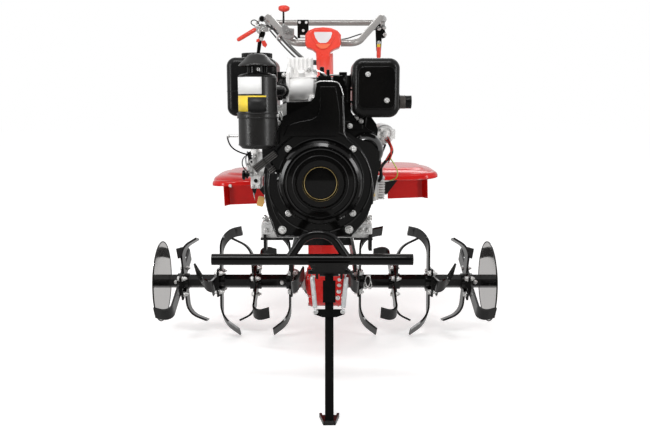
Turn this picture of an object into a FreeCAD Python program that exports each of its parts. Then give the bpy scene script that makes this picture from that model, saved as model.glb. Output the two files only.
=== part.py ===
"""Walk-behind garden tiller: a parametric FreeCAD assembly, in millimetres.

+Z is up, +Y runs back to the handlebar and +X is to the operator's right when looking
from the front of the machine towards the handlebar. The origin is on the ground at the
middle of the machine's length and width. Places along Y are counted from the rotor axle.
"""
import FreeCAD, Part

import math
import os
from types import SimpleNamespace

import Sketcher
from FreeCAD import Placement, Rotation, Vector

# ---------------------------------------------------------------- driving sizes

SIZES = {
    # whole machine
    "front_reach": 600.0,
    "rear_reach": 1150.0,
    "fit_gap": 0.3,
    "run_gap": 6.0,
    "bore_gap": 0.05,
    # rotor
    "tine_radius": 180.0,
    "hex_flats": 36.0,
    "shaft_dia": 30.0,
    "first_set": 101.0,
    "set_pitch": 111.0,
    "set_phase": -6.0,
    "set_lag": 20.0,
    "blade_width": 40.0,
    "blade_thick": 6.0,
    "curl_skew": -34.0,
    "curl_fold": 100.0,
    "curl_bend": 40.0,
    "curl_tip": 20.0,
    "open_skew": -34.0,
    "open_fold": 64.0,
    "open_bend": 50.0,
    "open_tip": 28.0,
    "steep_skew": 50.0,
    "steep_fold": 136.0,
    "steep_bend": 12.0,
    "steep_tip": 30.0,
    "hook_skew": 12.0,
    "hook_fold": 100.0,
    "hook_bend": 25.0,
    "hook_tip": 18.0,
    "inner_bend": 9.0,
    "inner_tip": 27.0,
    "flange_side": 84.0,
    "flange_thick": 6.0,
    "collar_radius": 24.0,
    "collar_length": 34.0,
    "disc_place": 500.0,
    "disc_radius": 122.0,
    "disc_thick": 3.0,
    # gear case
    "case_half": 49.0,
    "case_lobe": 76.0,
    "case_back": 116.0,
    "case_nose": 88.0,
    "case_low": 320.0,
    "case_high": 420.0,
    "case_round": 14.0,
    "neck_tall_from": 300.0,
    "neck_half": 34.0,
    "seal_radius": 30.0,
    "seal_length": 9.0,
    "bell_radius": 112.0,
    "bell_length": 96.0,
    "hitch_dia": 21.0,
    "hitch_z": 260.0,
    "hitch_reach": 186.0,
    "hitch_root": 60.0,
    "hitch_half": 22.0,
    "hitch_tall": 52.0,
    "hitch_edge": 32.0,
    # engine
    "crank_x": -11.0,
    "crank_z": 528.0,
    "engine_front": 400.0,
    "recoil_radius": 103.0,
    "recoil_deep": 55.0,
    "handle_x": -141.0,
    "handle_z": 577.0,
    "handle_long": 92.0,
    "handle_thick": 24.0,
    "shroud_radius": 141.0,
    "shroud_deep": 116.0,
    "shroud_floor": 386.0,
    "shroud_top": 772.0,
    "block_left": 112.0,
    "block_right": 96.0,
    "block_floor": 399.0,
    "block_top": 724.0,
    "block_shoulder": 600.0,
    "block_step": 660.0,
    "block_neck": 40.0,
    "block_round": 10.0,
    "block_back": 22.0,
    "base_left": 172.0,
    "base_right": 127.0,
    "base_back": 50.0,
    "base_thick": 38.0,
    "foot_deep": 60.0,
    "head_left": 97.0,
    "head_right": 23.0,
    "head_tall": 74.0,
    "head_deep": 130.0,
    "head_inset": 14.0,
    "rocker_left": 80.0,
    "rocker_right": 34.0,
    "rocker_tall": 38.0,
    "rocker_inset": 15.0,
    "cover_round": 8.0,
    "exhaust_port_drop": 22.0,
    "exhaust_port_y": 170.0,
    "exhaust_pipe_x": 100.0,
    "exhaust_radius": 14.0,
    "exhaust_bend": 22.0,
    "intake_thick": 28.0,
    "intake_wide": 64.0,
    "intake_z": 752.0,
    "intake_turn_y": 300.0,
    "intake_radius": 13.0,
    "intake_bend": 30.0,
    "filter_x": -161.0,
    "filter_y": 390.0,
    "filter_radius": 47.0,
    "filter_floor": 614.0,
    "cup_tall": 72.0,
    "clamp_tall": 12.0,
    "drum_tall": 90.0,
    "filter_neck": 20.0,
    "cap_radius": 43.0,
    "cap_tall": 27.0,
    "tank_x": -196.0,
    "tank_wide": 134.0,
    "tank_long": 150.0,
    "tank_y": 120.0,
    "tank_floor": 686.0,
    "tank_tall": 155.0,
    "tank_round": 24.0,
    "tank_cap_radius": 41.0,
    "tank_cap_tall": 14.0,
    "muffler_x": 126.0,
    "muffler_y": 345.0,
    "muffler_wide": 117.0,
    "muffler_deep": 130.0,
    "muffler_floor": 686.0,
    "muffler_tall": 145.0,
    "muffler_round": 26.0,
    "stub_z": 724.0,
    "stub_radius": 16.5,
    "stub_length": 30.0,
    "stub_wall": 2.0,
    "stub_root": 5.0,
    "starter_x": 158.0,
    "starter_z": 640.0,
    "starter_radius": 25.0,
    "starter_length": 150.0,
    "starter_foot_x": 30.0,
    "starter_foot_thick": 12.0,
    "starter_foot_tall": 44.0,
    "pump_left": 190.0,
    "pump_floor": 505.0,
    "pump_tall": 88.0,
    "pump_deep": 64.0,
    "oil_y": 200.0,
    "oil_z": 462.0,
    "oil_neck_long": 46.0,
    "oil_knob_long": 22.0,
    "regulator_floor": 465.0,
    "regulator_tall": 58.0,
    "regulator_core": 28.0,
    "regulator_deep": 56.0,
    "fin_long": 18.0,
    "fin_thick": 5.0,
    "fin_pitch": 13.0,
    # front bumper and stand
    "bumper_y": 465.0,
    "bumper_z": 355.0,
    "bumper_dia": 27.0,
    "bumper_left": 269.0,
    "bumper_right": 209.0,
    "tube_wall": 2.0,
    "hoop_dia": 21.0,
    "hoop_left": 87.0,
    "hoop_right": 55.0,
    "hoop_tall": 62.0,
    "hoop_flat": 58.0,
    "hoop_bend": 50.0,
    "carrier_left": 84.0,
    "carrier_right": 68.0,
    "carrier_wide": 8.0,
    "carrier_tall": 40.0,
    "carrier_back": 130.0,
    "tie_front": 215.0,
    "tie_deep": 60.0,
    "tie_tall": 24.0,
    "stand_x": 10.0,
    "stand_y": 465.0,
    "stand_z": 325.0,
    "stand_bar": 20.0,
    "stand_pin": 12.0,
    "skid_wide": 47.0,
    "skid_nose": 28.0,
    "skid_long": 44.0,
    "skid_thick": 5.0,
    "skid_rim": 10.0,
    "spring_radius": 5.5,
    "spring_spread": 41.0,
    "ear_spread": 32.0,
    "ear_drop": 95.0,
    # fenders
    "fender_half": 346.0,
    "fender_inner": 126.0,
    "fender_front": 5.0,
    "fender_back": 300.0,
    "fender_lip_z": 485.0,
    "fender_deep": 17.0,
    "fender_skin": 3.0,
    "fender_nose_round": 60.0,
    "fender_tail_round": 14.0,
    "fender_rim_round": 12.0,
    "fender_slope": 1.2,
    "fender_roll": 2.2,
    "panel_rise": 6.0,
    "panel_inset": 46.0,
    "panel_start": 45.0,
    "panel_end": 18.0,
    "curtain_inner": 212.0,
    "curtain_drop": 93.0,
    "curtain_return": 32.0,
    "arm_reach": 290.0,
    "arm_start_y": 84.0,
    "arm_wide": 30.0,
    "arm_thick": 20.0,
    "gusset_drop": 42.0,
    # handlebar
    "column_radius": 30.0,
    "column_pin": 8.0,
    "cheek_gap": 34.0,
    "cheek_thick": 8.0,
    "column_foot_z": 610.0,
    "console_y": 500.0,
    "console_floor": 872.0,
    "console_tall": 117.0,
    "console_left": 72.0,
    "console_right": 58.0,
    "console_deep": 120.0,
    "console_round": 12.0,
    "neck_wide": 58.0,
    "neck_deep": 76.0,
    "neck_drop": 25.0,
    "bar_dia": 25.0,
    "bar_start_z": 935.0,
    "elbow_x": 217.0,
    "elbow_y": 710.0,
    "elbow_z": 1046.0,
    "grip_x": 238.0,
    "grip_z": 1056.0,
    "cross_y": 1010.0,
    "grip_length": 125.0,
    "grip_wall": 4.0,
    "gate_reach": 168.0,
    "gate_rise": 76.0,
    "gate_tall": 40.0,
    "gate_deep": 26.0,
    "stem_long": 60.0,
    "knob_radius": 14.0,
    "lever_wide": 14.0,
    "lever_thick": 6.0,
    "post_from_bar": 130.0,
    "post_wide": 16.0,
    "post_tall": 26.0,
    "pull_radius": 6.5,
    "pull_reach": 96.0,
    "pull_drop": 57.0,
    "left_lever_long": 75.0,
    "right_lever_long": 150.0,
    "cable_radius": 3.5,
    "thin_cable_radius": 2.5,
    "entry_back": 86.0,
    "entry_rise": 40.5,
}

DOC = FreeCAD.newDocument("garden_tiller")


class Size:
    """A number together with the sheet expression that yields it."""

    def __init__(self, value, text):
        self.value = float(value)
        self.text = text

    def __float__(self):
        return self.value

    def __add__(self, other):
        other = sized(other)
        return Size(self.value + other.value, "(%s + %s)" % (self.text, other.text))

    def __radd__(self, other):
        return sized(other) + self

    def __sub__(self, other):
        other = sized(other)
        return Size(self.value - other.value, "(%s - %s)" % (self.text, other.text))

    def __rsub__(self, other):
        return sized(other) - self

    def __mul__(self, other):
        other = sized(other)
        return Size(self.value * other.value, "(%s * %s)" % (self.text, other.text))

    def __rmul__(self, other):
        return sized(other) * self

    def __truediv__(self, other):
        other = sized(other)
        return Size(self.value / other.value, "(%s / %s)" % (self.text, other.text))

    def __neg__(self):
        return Size(-self.value, "(0 - %s)" % self.text)


def sized(number):
    """A plain number or a Size, as a Size."""
    if isinstance(number, Size):
        return number
    return Size(number, "(%.6f)" % float(number))


def fill_sheet():
    """Write every driving size to the spreadsheet and return them as Sizes."""
    sheet = DOC.addObject("Spreadsheet::Sheet", "dims")
    found = {}
    for row, (name, value) in enumerate(SIZES.items(), start=1):
        sheet.set("A%d" % row, name)
        sheet.set("B%d" % row, str(value))
        sheet.setAlias("B%d" % row, name)
        found[name] = Size(value, "dims.%s" % name)
    DOC.recompute()
    return SimpleNamespace(**found)


D = fill_sheet()
AXLE_Y = (D.front_reach - D.rear_reach) / 2
AXLE_Z = D.tine_radius

# Turns that lay a piece drawn in its own XY plane the way it sits on the machine.
FLAT = Rotation()
FRONTWARD = Rotation(Vector(1, 0, 0), 90)
SIDEWARD = Rotation(Vector(1, 1, 1), 120)
AXIS_BACK = Rotation(Vector(1, 0, 0), -90)
AXIS_FRONT = Rotation(Vector(1, 0, 0), 90)
AXIS_RIGHT = Rotation(Vector(0, 1, 0), 90)

# Turns for bodies turned about their local Y, to face back, front or up.
TURN_BACK = FLAT
TURN_FRONT = Rotation(Vector(0, 0, 1), 180)
TURN_UP = Rotation(Vector(1, 0, 0), 90)

SUBPARTS = []


# ---------------------------------------------------------------- building blocks

def bind(item, name, number):
    """Set a property from a Size and keep it bound to the sheet."""
    number = sized(number)
    item.setExpression(name, number.text)
    return number.value


def place(item, spot, turn=FLAT):
    """Place an item at X, Y from the axle, and Z, with the places bound to the sheet."""
    x, y, z = sized(spot[0]), AXLE_Y + spot[1], sized(spot[2])
    item.Placement = Placement(Vector(x.value, y.value, z.value), turn)
    bind(item, ".Placement.Base.x", x)
    bind(item, ".Placement.Base.y", y)
    bind(item, ".Placement.Base.z", z)
    return item


def corner_sketch(body, name, corners):
    """Closed outline in the body's XY plane, each corner held by two bound distances."""
    sketch = body.newObject("Sketcher::SketchObject", name)
    planes = {item.Role: item for item in body.Origin.OriginFeatures}
    sketch.AttachmentSupport = [(planes["XY_Plane"], "")]
    sketch.MapMode = "FlatFace"
    spots = [(sized(u), sized(v)) for u, v in corners]
    count = len(spots)
    for index in range(count):
        start = Vector(spots[index][0].value, spots[index][1].value, 0)
        after = spots[(index + 1) % count]
        sketch.addGeometry(Part.LineSegment(start, Vector(after[0].value, after[1].value, 0)))
    for index in range(count):
        sketch.addConstraint(Sketcher.Constraint("Coincident", index, 2, (index + 1) % count, 1))
    for index, spot in enumerate(spots):
        for kind, size in zip(("DistanceX", "DistanceY"), spot):
            hold = sketch.addConstraint(Sketcher.Constraint(kind, -1, 1, index, 1, size.value))
            sketch.setExpression("Constraints[%d]" % hold, size.text)
    return sketch


def slab(name, corners, thick, spot, turn=FLAT, corner_round=None, rim_round=None):
    """Body padded from an outline, its upright edges and then its front rim rounded."""
    body = DOC.addObject("PartDesign::Body", name)
    pad = body.newObject("PartDesign::Pad", name + "_pad")
    pad.Profile = corner_sketch(body, name + "_outline", corners)
    bind(pad, "Length", thick)
    body.Tip = pad
    DOC.recompute()
    last = pad
    if corner_round is not None:
        last = rounded(body, name + "_corners", last, corner_round, is_upright)
    if rim_round is not None:
        top = float(sized(thick))
        last = rounded(body, name + "_rim", last, rim_round, lambda edge: edge_height(edge) > top - 0.01)
    return place(body, spot, turn)


def is_upright(edge):
    """True for a straight edge along the pad's direction."""
    first, last = edge.Vertexes[0].Point, edge.Vertexes[-1].Point
    return abs(first.x - last.x) < 0.01 and abs(first.y - last.y) < 0.01


def edge_height(edge):
    """The lowest local Z on an edge."""
    return edge.BoundBox.ZMin


def rounded(body, name, base, radius, wanted):
    """PartDesign fillet over every edge of the base feature that is wanted."""
    names = ["Edge%d" % (n + 1) for n, edge in enumerate(base.Shape.Edges) if wanted(edge)]
    fillet = body.newObject("PartDesign::Fillet", name)
    fillet.Base = (base, names)
    bind(fillet, "Radius", radius)
    body.Tip = fillet
    DOC.recompute()
    return fillet


def turned(name, profile, spot, turn=FLAT):
    """Body turned about its local Y from (radius, height) corners."""
    body = DOC.addObject("PartDesign::Body", name)
    sketch = corner_sketch(body, name + "_profile", profile)
    wheel = body.newObject("PartDesign::Revolution", name + "_turn")
    wheel.Profile = sketch
    wheel.ReferenceAxis = (sketch, ["V_Axis"])
    wheel.Angle = 360
    body.Tip = wheel
    DOC.recompute()
    return place(body, spot, turn)


def block(name, low, size):
    """Box from its low corner and its three lengths."""
    box = DOC.addObject("Part::Box", name)
    bind(box, "Length", size[0])
    bind(box, "Width", size[1])
    bind(box, "Height", size[2])
    return place(box, low)


def rod(name, radius, length, spot, turn=FLAT):
    """Round bar along its local Z."""
    bar = DOC.addObject("Part::Cylinder", name)
    bind(bar, "Radius", radius)
    bind(bar, "Height", length)
    return place(bar, spot, turn)


def hex_bar(name, flats, length, spot, turn=FLAT):
    """Hexagon bar along its local Z, with flats facing its local Y."""
    bar = DOC.addObject("Part::Prism", name)
    bar.Polygon = 6
    bind(bar, "Circumradius", sized(flats) / math.sqrt(3))
    bind(bar, "Height", length)
    return place(bar, spot, turn)


def joined(name, pieces):
    """Union of several objects."""
    union = DOC.addObject("Part::MultiFuse", name)
    union.Shapes = pieces
    return union


def trimmed(name, base, tool):
    """The base with the tool taken away."""
    cut = DOC.addObject("Part::Cut", name)
    cut.Base = base
    cut.Tool = tool
    return cut


def gathered(name, pieces):
    """Like pieces that do not touch, kept in one object."""
    group = DOC.addObject("Part::Compound", name)
    group.Links = pieces
    return group


def formed(name, shape):
    """Object whose shape is worked out here from the sheet, in the axle's frame."""
    item = DOC.addObject("Part::Feature", name)
    item.Shape = shape
    return place(item, (0, 0, 0))


def keep(item):
    """Mark an object as a sub-part of the machine."""
    item.Label = item.Name
    SUBPARTS.append(item)
    return item


def spots_of(points):
    """Points of Sizes or numbers as vectors in the axle's frame."""
    return [Vector(float(sized(x)), float(sized(y)), float(sized(z))) for x, y, z in points]


def bent_path(points, bend):
    """Wire of straight runs joined by tangent arcs of one radius."""
    edges = []
    start = points[0]
    for before, corner, after in zip(points, points[1:], points[2:]):
        inward = (corner - before).normalize()
        outward = (after - corner).normalize()
        half = inward.getAngle(outward) / 2
        reach = bend * math.tan(half)
        first = corner - inward * reach
        last = corner + outward * reach
        middle = corner + (outward - inward).normalize() * (bend / math.cos(half) - bend)
        edges.append(Part.LineSegment(start, first).toShape())
        edges.append(Part.Arc(first, middle, last).toShape())
        start = last
    edges.append(Part.LineSegment(start, points[-1]).toShape())
    return Part.Wire(edges)


def swept(points, bend, radius):
    """Solid round section swept along a bent path."""
    path = bent_path(points, bend)
    section = Part.Wire(Part.Circle(points[0], points[1] - points[0], radius).toShape())
    return path.makePipeShell([section], True, False)


def bent_tube(points, bend, radius, wall):
    """Hollow tube along a bent path."""
    return swept(points, bend, radius).cut(swept(points, bend, radius - wall))


def ring(outer, inner, length, spot, turn):
    """Plain sleeve along its local Z, in the axle's frame."""
    sleeve = Part.makeCylinder(outer, length).cut(Part.makeCylinder(inner, length))
    sleeve.Placement = Placement(spot, turn)
    return sleeve


def mirrored(shape):
    """The same shape on the other side of the machine's middle plane."""
    return shape.mirror(Vector(0, 0, 0), Vector(1, 0, 0))


# ---------------------------------------------------------------- rotor

def blade_sections(inner_radius, skew, fold, bend, tip):
    """Rectangles across one flat blade that folds sideways along a skewed line.

    The blade stands up along Z and sweeps towards +X; its width lies along Y.
    """
    width, thick = D.blade_width.value, D.blade_thick.value
    skew, fold = math.radians(skew), math.radians(fold)
    crease = Vector(0, math.cos(skew), math.sin(skew))
    along = Vector(0, -math.sin(skew), math.cos(skew))
    sideways = Vector(1, 0, 0)
    arc_steps = 8
    stations = [(0.0, 0.0, 0.0, 0.0)]
    for step in range(1, arc_steps + 1):
        angle = fold * step / arc_steps
        stations.append((bend * math.sin(angle), bend * (1 - math.cos(angle)), angle, bend * angle))
    end = stations[-1]
    stations.append((end[0] + tip * math.cos(fold), end[1] + tip * math.sin(fold), fold, end[3] + tip))
    spans = []
    for rise, side, angle, run in stations:
        middle = along * rise + sideways * side + crease * (run * math.tan(skew))
        across = crease * (width / 2 / math.cos(skew))
        skin = (sideways * math.cos(angle) - along * math.sin(angle)) * (thick / 2)
        spans.append((middle, across, skin))
    corners = [middle + across * sign + skin * face
               for middle, across, skin in spans for sign in (-1, 1) for face in (-1, 1)]
    reach = D.tine_radius.value
    lift = Vector(0, 0, min(math.sqrt(reach ** 2 - corner.y ** 2) - corner.z for corner in corners))
    spans = [(middle + lift, across, skin) for middle, across, skin in spans]
    root = Vector(0, 0, inner_radius)
    spans.insert(0, (root, Vector(0, width / 2, 0), spans[0][2]))
    return spans


def one_blade(skew, fold, bend, tip):
    """One curved blade standing up from the axle line."""
    wires = []
    for middle, across, skin in blade_sections(D.collar_radius.value - 1, skew, fold, bend, tip):
        outside, inside = middle + skin, middle - skin
        corners = [outside + across, outside - across, inside - across, inside + across]
        wires.append(Part.makePolygon(corners + corners[:1]))
    return Part.makeLoft(wires, True, True)


def blade_shape(kind):
    """Lean of the fold line, fold angle, fold radius and flat tip of one kind of blade."""
    return [getattr(D, kind + part).value for part in ("_skew", "_fold", "_bend", "_tip")]


def tine_set(place_x, lag, outboard_first, kinds):
    """Flange, collar and four blades on the +X side, opposite blades folding the same way."""
    flange_half = D.flange_thick.value / 2
    offset = flange_half + D.blade_thick.value / 2
    collar = ring(D.collar_radius.value, D.hex_flats.value / math.sqrt(3) + D.fit_gap.value,
                  D.collar_length.value, Vector(-D.collar_length.value / 2, 0, 0), AXIS_RIGHT)
    side = D.flange_side.value
    flange = Part.makeBox(D.flange_thick.value, side, side, Vector(-flange_half, -side / 2, -side / 2))
    eye = Part.makeCylinder(D.collar_radius.value, side, Vector(-side / 2, 0, 0), Vector(1, 0, 0))
    pieces = [flange.cut(eye)]
    for turn, kind in enumerate(kinds):
        outboard = (turn % 2 == 0) == outboard_first
        skew, fold, bend, tip = blade_shape(kind)
        if place_x == D.first_set.value and not outboard:
            bend, tip = D.inner_bend.value, D.inner_tip.value
        piece = one_blade(skew, fold, bend, tip)
        if not outboard:
            piece = piece.mirror(Vector(0, 0, 0), Vector(1, 0, 0))
        piece.translate(Vector(offset if outboard else -offset, 0, 0))
        piece.rotate(Vector(0, 0, 0), Vector(1, 0, 0), 90 * turn)
        pieces.append(piece)
    whole = collar.multiFuse(pieces)
    whole.rotate(Vector(0, 0, 0), Vector(1, 0, 0), lag)
    whole.translate(Vector(place_x, 0, AXLE_Z.value))
    return whole.removeSplitter()


def build_rotor():
    """Axle, four pairs of tine sets and the two end discs."""
    start = D.case_half + D.seal_length + D.run_gap
    end = D.disc_place - D.disc_thick / 2
    shaft = rod("axle_core", D.shaft_dia / 2, start * 2, (-start, 0, AXLE_Z), AXIS_RIGHT)
    right = hex_bar("axle_tube_right", D.hex_flats, end - start, (start, 0, AXLE_Z), AXIS_RIGHT)
    left = hex_bar("axle_tube_left", D.hex_flats, end - start, (-end, 0, AXLE_Z), AXIS_RIGHT)
    keep(joined("rotor_axle", [shaft, right, left]))
    for index in range(4):
        place_x = D.first_set.value + D.set_pitch.value * index
        lag, kinds = D.set_phase.value, ("curl", "steep", "open", "steep")
        if index % 2:
            lag, kinds = D.set_lag.value, ("open", "hook", "open", "hook")
        right_set = tine_set(place_x, lag, index in (0, 1), kinds)
        both = Part.makeCompound([right_set, mirrored(right_set)])
        keep(formed("tine_set_%d" % (index + 1), both))
    discs = []
    for name, side in (("right", 1), ("left", -1)):
        low_x = D.disc_place * side - D.disc_thick / 2
        discs.append(rod("disc_" + name, D.disc_radius, D.disc_thick, (low_x, 0, AXLE_Z), AXIS_RIGHT))
    keep(gathered("end_discs", discs))


# ---------------------------------------------------------------- gear case

def build_case():
    """Red gear case: a round lobe round the axle, a neck and the bell behind the engine."""
    half, lobe = D.case_half, D.case_lobe
    hull = rod("case_lobe_body", lobe, half * 2, (-half, 0, AXLE_Z), AXIS_RIGHT)
    under_base = D.block_floor - D.base_thick
    rear, nose = D.case_back - 4, D.case_nose
    sides = [(-lobe, AXLE_Z), (lobe, AXLE_Z), (rear, D.case_low + 10), (rear, D.case_high),
             (4 - D.block_back, D.case_high), (4 - D.block_back, under_base), (-nose, D.case_low)]
    trunk = slab("case_trunk", sides, half * 2, (-half, 0, 0), SIDEWARD, corner_round=D.case_round)
    neck_floor = D.neck_tall_from
    neck = block("case_neck", (-D.neck_half, 4 - nose, neck_floor), (D.neck_half * 2, 150, under_base - neck_floor))
    back = block("case_back", (-half, 20, D.case_high - 20), (half * 2, D.case_back - 20, 200))
    r = D.bell_radius
    bell = turned("case_bell", [(0, 0), (r, 0), (r, 16), (r - 8, 20), (r - 22, D.bell_length), (0, D.bell_length)],
                  (D.crank_x, -D.block_back, D.crank_z), TURN_BACK)
    body = joined("case_union", [hull, trunk, neck, back, bell])
    bore = rod("case_bore", D.shaft_dia / 2 + D.bore_gap, half * 4, (-half * 2, 0, AXLE_Z), AXIS_RIGHT)
    seals = []
    for name, low_x in (("right", half), ("left", -(half + D.seal_length))):
        seals.append(rod("seal_" + name, D.seal_radius, D.seal_length, (low_x, 0, AXLE_Z), AXIS_RIGHT))
    case = keep(trimmed("gear_case", joined("case_with_seals", [body] + seals), bore))
    tongue = block("hitch_block", (-D.hitch_half, D.hitch_root, D.hitch_z - D.hitch_tall / 2),
                   (D.hitch_half * 2, D.hitch_reach - D.hitch_root, D.hitch_tall))
    pin_hole = rod("hitch_hole", D.hitch_dia / 2, 80, (0, D.hitch_reach - D.hitch_edge, D.hitch_z - 40))
    keep(trimmed("hitch", trimmed("hitch_bored", tongue, pin_hole), case))


# ---------------------------------------------------------------- engine

def build_engine():
    """Engine from the base up; the closed block stands for all that is inside it."""
    x, z = D.crank_x, D.crank_z
    recoil_back = D.recoil_deep - D.engine_front
    shroud_back = recoil_back + D.shroud_deep
    head_y = shroud_back + D.head_inset
    build_block(shroud_back, head_y)
    build_shroud(x, z, shroud_back)
    outer, deep = D.recoil_radius, D.recoil_deep
    profile = [(0, 0), (outer, 0), (outer, 36), (outer - 5, 46), (outer - 12, 50), (outer - 14, 44), (62, 48),
               (57, deep), (44, deep), (42, 44), (0, 44)]
    keep(turned("recoil_cover", profile, (x, recoil_back, z), TURN_FRONT))
    build_pull_handle(recoil_back)
    build_filter()
    build_tank()
    build_muffler()
    build_pipes(head_y)
    build_side_units(shroud_back)


def build_block(shroud_back, head_y):
    """Base, closed block, cylinder head and rocker cover, one on the other."""
    base_floor = D.block_floor - D.base_thick
    feet = block("base_feet", (-D.base_left, shroud_back, base_floor),
                 (D.base_left + D.base_right, D.foot_deep, D.base_thick))
    middle = block("base_middle", (-D.block_left, shroud_back, base_floor),
                   (D.block_left + D.block_right, -D.base_back - shroud_back, D.base_thick))
    keep(joined("engine_base", [feet, middle]))
    left, right, top = -D.block_left, D.block_right, D.block_top
    head_left, shoulder, step = -D.head_left, D.block_shoulder, D.block_step
    sides = [(left, D.block_floor), (right, D.block_floor), (right, shoulder), (D.block_neck, step),
             (D.block_neck, top), (head_left, top), (head_left, step - 20), (left, shoulder)]
    keep(slab("engine_block", sides, -D.block_back - shroud_back, (0, -D.block_back, 0), FRONTWARD,
              corner_round=D.block_round))
    head_top, head_right = top + D.head_tall, -D.head_right
    sides = [(head_left, top), (head_right, top), (head_right, head_top), (head_left, head_top)]
    keep(slab("cylinder_head", sides, D.head_deep, (0, head_y + D.head_deep, 0), FRONTWARD,
              corner_round=D.cover_round))
    cover_top, cover_left, cover_right = head_top + D.rocker_tall, -D.rocker_left, -D.rocker_right
    sides = [(cover_left, head_top), (cover_right, head_top), (cover_right, cover_top), (cover_left, cover_top)]
    keep(slab("rocker_cover", sides, D.head_deep - D.rocker_inset * 2,
              (0, head_y + D.head_deep - D.rocker_inset, 0), FRONTWARD, corner_round=D.cover_round))


def build_shroud(x, z, shroud_back):
    """Fan shroud: a round housing with a duct up to the head, a starter bulge and two feet."""
    low, top = D.shroud_floor, D.shroud_top
    round_part = rod("shroud_round", D.shroud_radius, D.shroud_deep, (x - 3, shroud_back, z), AXIS_FRONT)
    feet = [(-122, low), (66, low), (78, low + 14), (106, low + 48), (119, low + 88)]
    bulge = [(136, 560), (136, 602), (116, 624), (51, 645)]
    duct = [(34, top), (-20, top), (-26, 736), (-44, 716), (-74, 702), (-103, 690), (-128, 620)]
    left = [(-152, z), (-151, low + 112), (-144, low + 69), (-129, low + 18)]
    column = slab("shroud_column", feet + bulge + duct + left, D.shroud_deep, (0, shroud_back, 0), FRONTWARD,
                  corner_round=4)
    keep(joined("fan_shroud", [round_part, column]))


def build_pull_handle(recoil_back):
    """Ribbed T handle beside the recoil cover, its neck running into the cover's rim."""
    x, z = D.handle_x, D.handle_z
    half, thick = D.handle_long / 2, D.handle_thick
    tilt = Rotation(Vector(1, 0, 0), 90).multiply(Rotation(Vector(0, 0, 1), 35))
    y = recoil_back - 6
    sides = [(-half, -thick / 2), (half, -thick / 2), (half, thick / 2), (-half, thick / 2)]
    bar = slab("pull_bar", sides, thick, (x, y, z), tilt, corner_round=9, rim_round=6)
    lean = tilt.multVec(Vector(0, -1, 0))
    neck = rod("pull_neck", 8, 60, (x, y - thick / 2, z), Rotation(Vector(0, 0, 1), lean))
    keep(trimmed("pull_handle", joined("pull_union", [bar, neck]), DOC.getObject("recoil_cover")))


def build_filter():
    """Oil-bath air filter: lower cup, clamp ring, drum, slotted neck and mushroom cap."""
    spot_x, spot_y, r = D.filter_x, -D.filter_y, D.filter_radius
    cup, ring_top = D.cup_tall, D.cup_tall + D.clamp_tall
    top = ring_top + D.drum_tall
    profile = [(0, 0), (r - 8, 0), (r, 8), (r, cup), (r + 2, cup), (r + 2, ring_top), (r - 1, ring_top),
               (r - 1, top - 6), (r - 7, top), (0, top)]
    keep(turned("air_filter", profile, (spot_x, spot_y, D.filter_floor), TURN_UP))
    cap, rim, peak = D.cap_radius, D.filter_neck, D.filter_neck + D.cap_tall
    profile = [(0, 0), (cap - 13, 0), (cap - 13, rim), (cap, rim - 2), (cap, rim + 5), (cap - 8, rim + 16),
               (cap - 24, peak - 3), (0, peak)]
    keep(turned("filter_cap", profile, (spot_x, spot_y, D.filter_floor + top), TURN_UP))


def build_tank():
    """Blow-moulded fuel tank and its cap."""
    half, tall = D.tank_wide / 2, D.tank_tall
    tank = slab("fuel_tank", [(-half, 0), (half, 0), (half, tall), (-half, tall)], D.tank_long,
                (D.tank_x, -D.tank_y + D.tank_long / 2, D.tank_floor), FRONTWARD, corner_round=D.tank_round,
                rim_round=D.tank_round - 6)
    keep(tank)
    keep(rod("fuel_cap", D.tank_cap_radius, D.tank_cap_tall, (D.tank_x + 9, -D.tank_y, D.tank_floor + tall)))


def build_muffler():
    """Box muffler with its outlet stub, and the elbow that feeds it."""
    half, tall = D.muffler_wide / 2, D.muffler_tall
    x, back = D.muffler_x, D.muffler_deep - D.muffler_y
    box = slab("muffler_box", [(-half, 0), (half, 0), (half, tall), (-half, tall)], D.muffler_deep,
               (x, back, D.muffler_floor), FRONTWARD, corner_round=D.muffler_round, rim_round=18)
    middle_y = back - D.muffler_deep / 2
    inside = 20
    wall_x = x + half - inside
    stub = rod("muffler_stub", D.stub_radius, D.stub_length + D.stub_root + inside, (wall_x, middle_y, D.stub_z),
               AXIS_RIGHT)
    root = rod("muffler_root", D.stub_radius + 4, D.stub_root + inside, (wall_x, middle_y, D.stub_z), AXIS_RIGHT)
    port_z = D.block_top + D.head_tall - D.exhaust_port_drop
    points = spots_of([(-D.head_right, -D.exhaust_port_y, port_z), (D.exhaust_pipe_x, -D.exhaust_port_y, port_z),
                       (D.exhaust_pipe_x, back - 5, port_z)])
    elbow = formed("exhaust_elbow", swept(points, D.exhaust_bend.value, D.exhaust_radius.value))
    whole = joined("muffler_piped", [joined("muffler_union", [box, root, stub]), elbow])
    hole = rod("stub_hole", D.stub_radius - D.stub_wall, D.stub_length + D.stub_root + 10,
               (x + half - 8, middle_y, D.stub_z), AXIS_RIGHT)
    keep(trimmed("muffler", whole, hole))


def build_pipes(head_y):
    """Intake from the filter to the head's left face, and the shelf under the tank."""
    wall_x, thick = -D.head_left, D.intake_thick
    flange = block("intake_flange", (wall_x - thick, head_y, D.block_top + 4), (thick, D.intake_wide, D.head_tall))
    middle_x = wall_x - thick / 2
    points = spots_of([(middle_x, head_y, D.intake_z), (middle_x, -D.intake_turn_y, D.intake_z),
                       (D.filter_x, -D.filter_y, D.intake_z)])
    runner = formed("intake_runner", swept(points, D.intake_bend.value, D.intake_radius.value))
    keep(trimmed("intake_elbow", joined("intake_union", [flange, runner]), DOC.getObject("air_filter")))
    shelf_x = D.tank_x - 40
    keep(block("tank_bracket", (shelf_x, -190, D.tank_floor - 6), (wall_x - shelf_x, 120, 6)))


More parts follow.
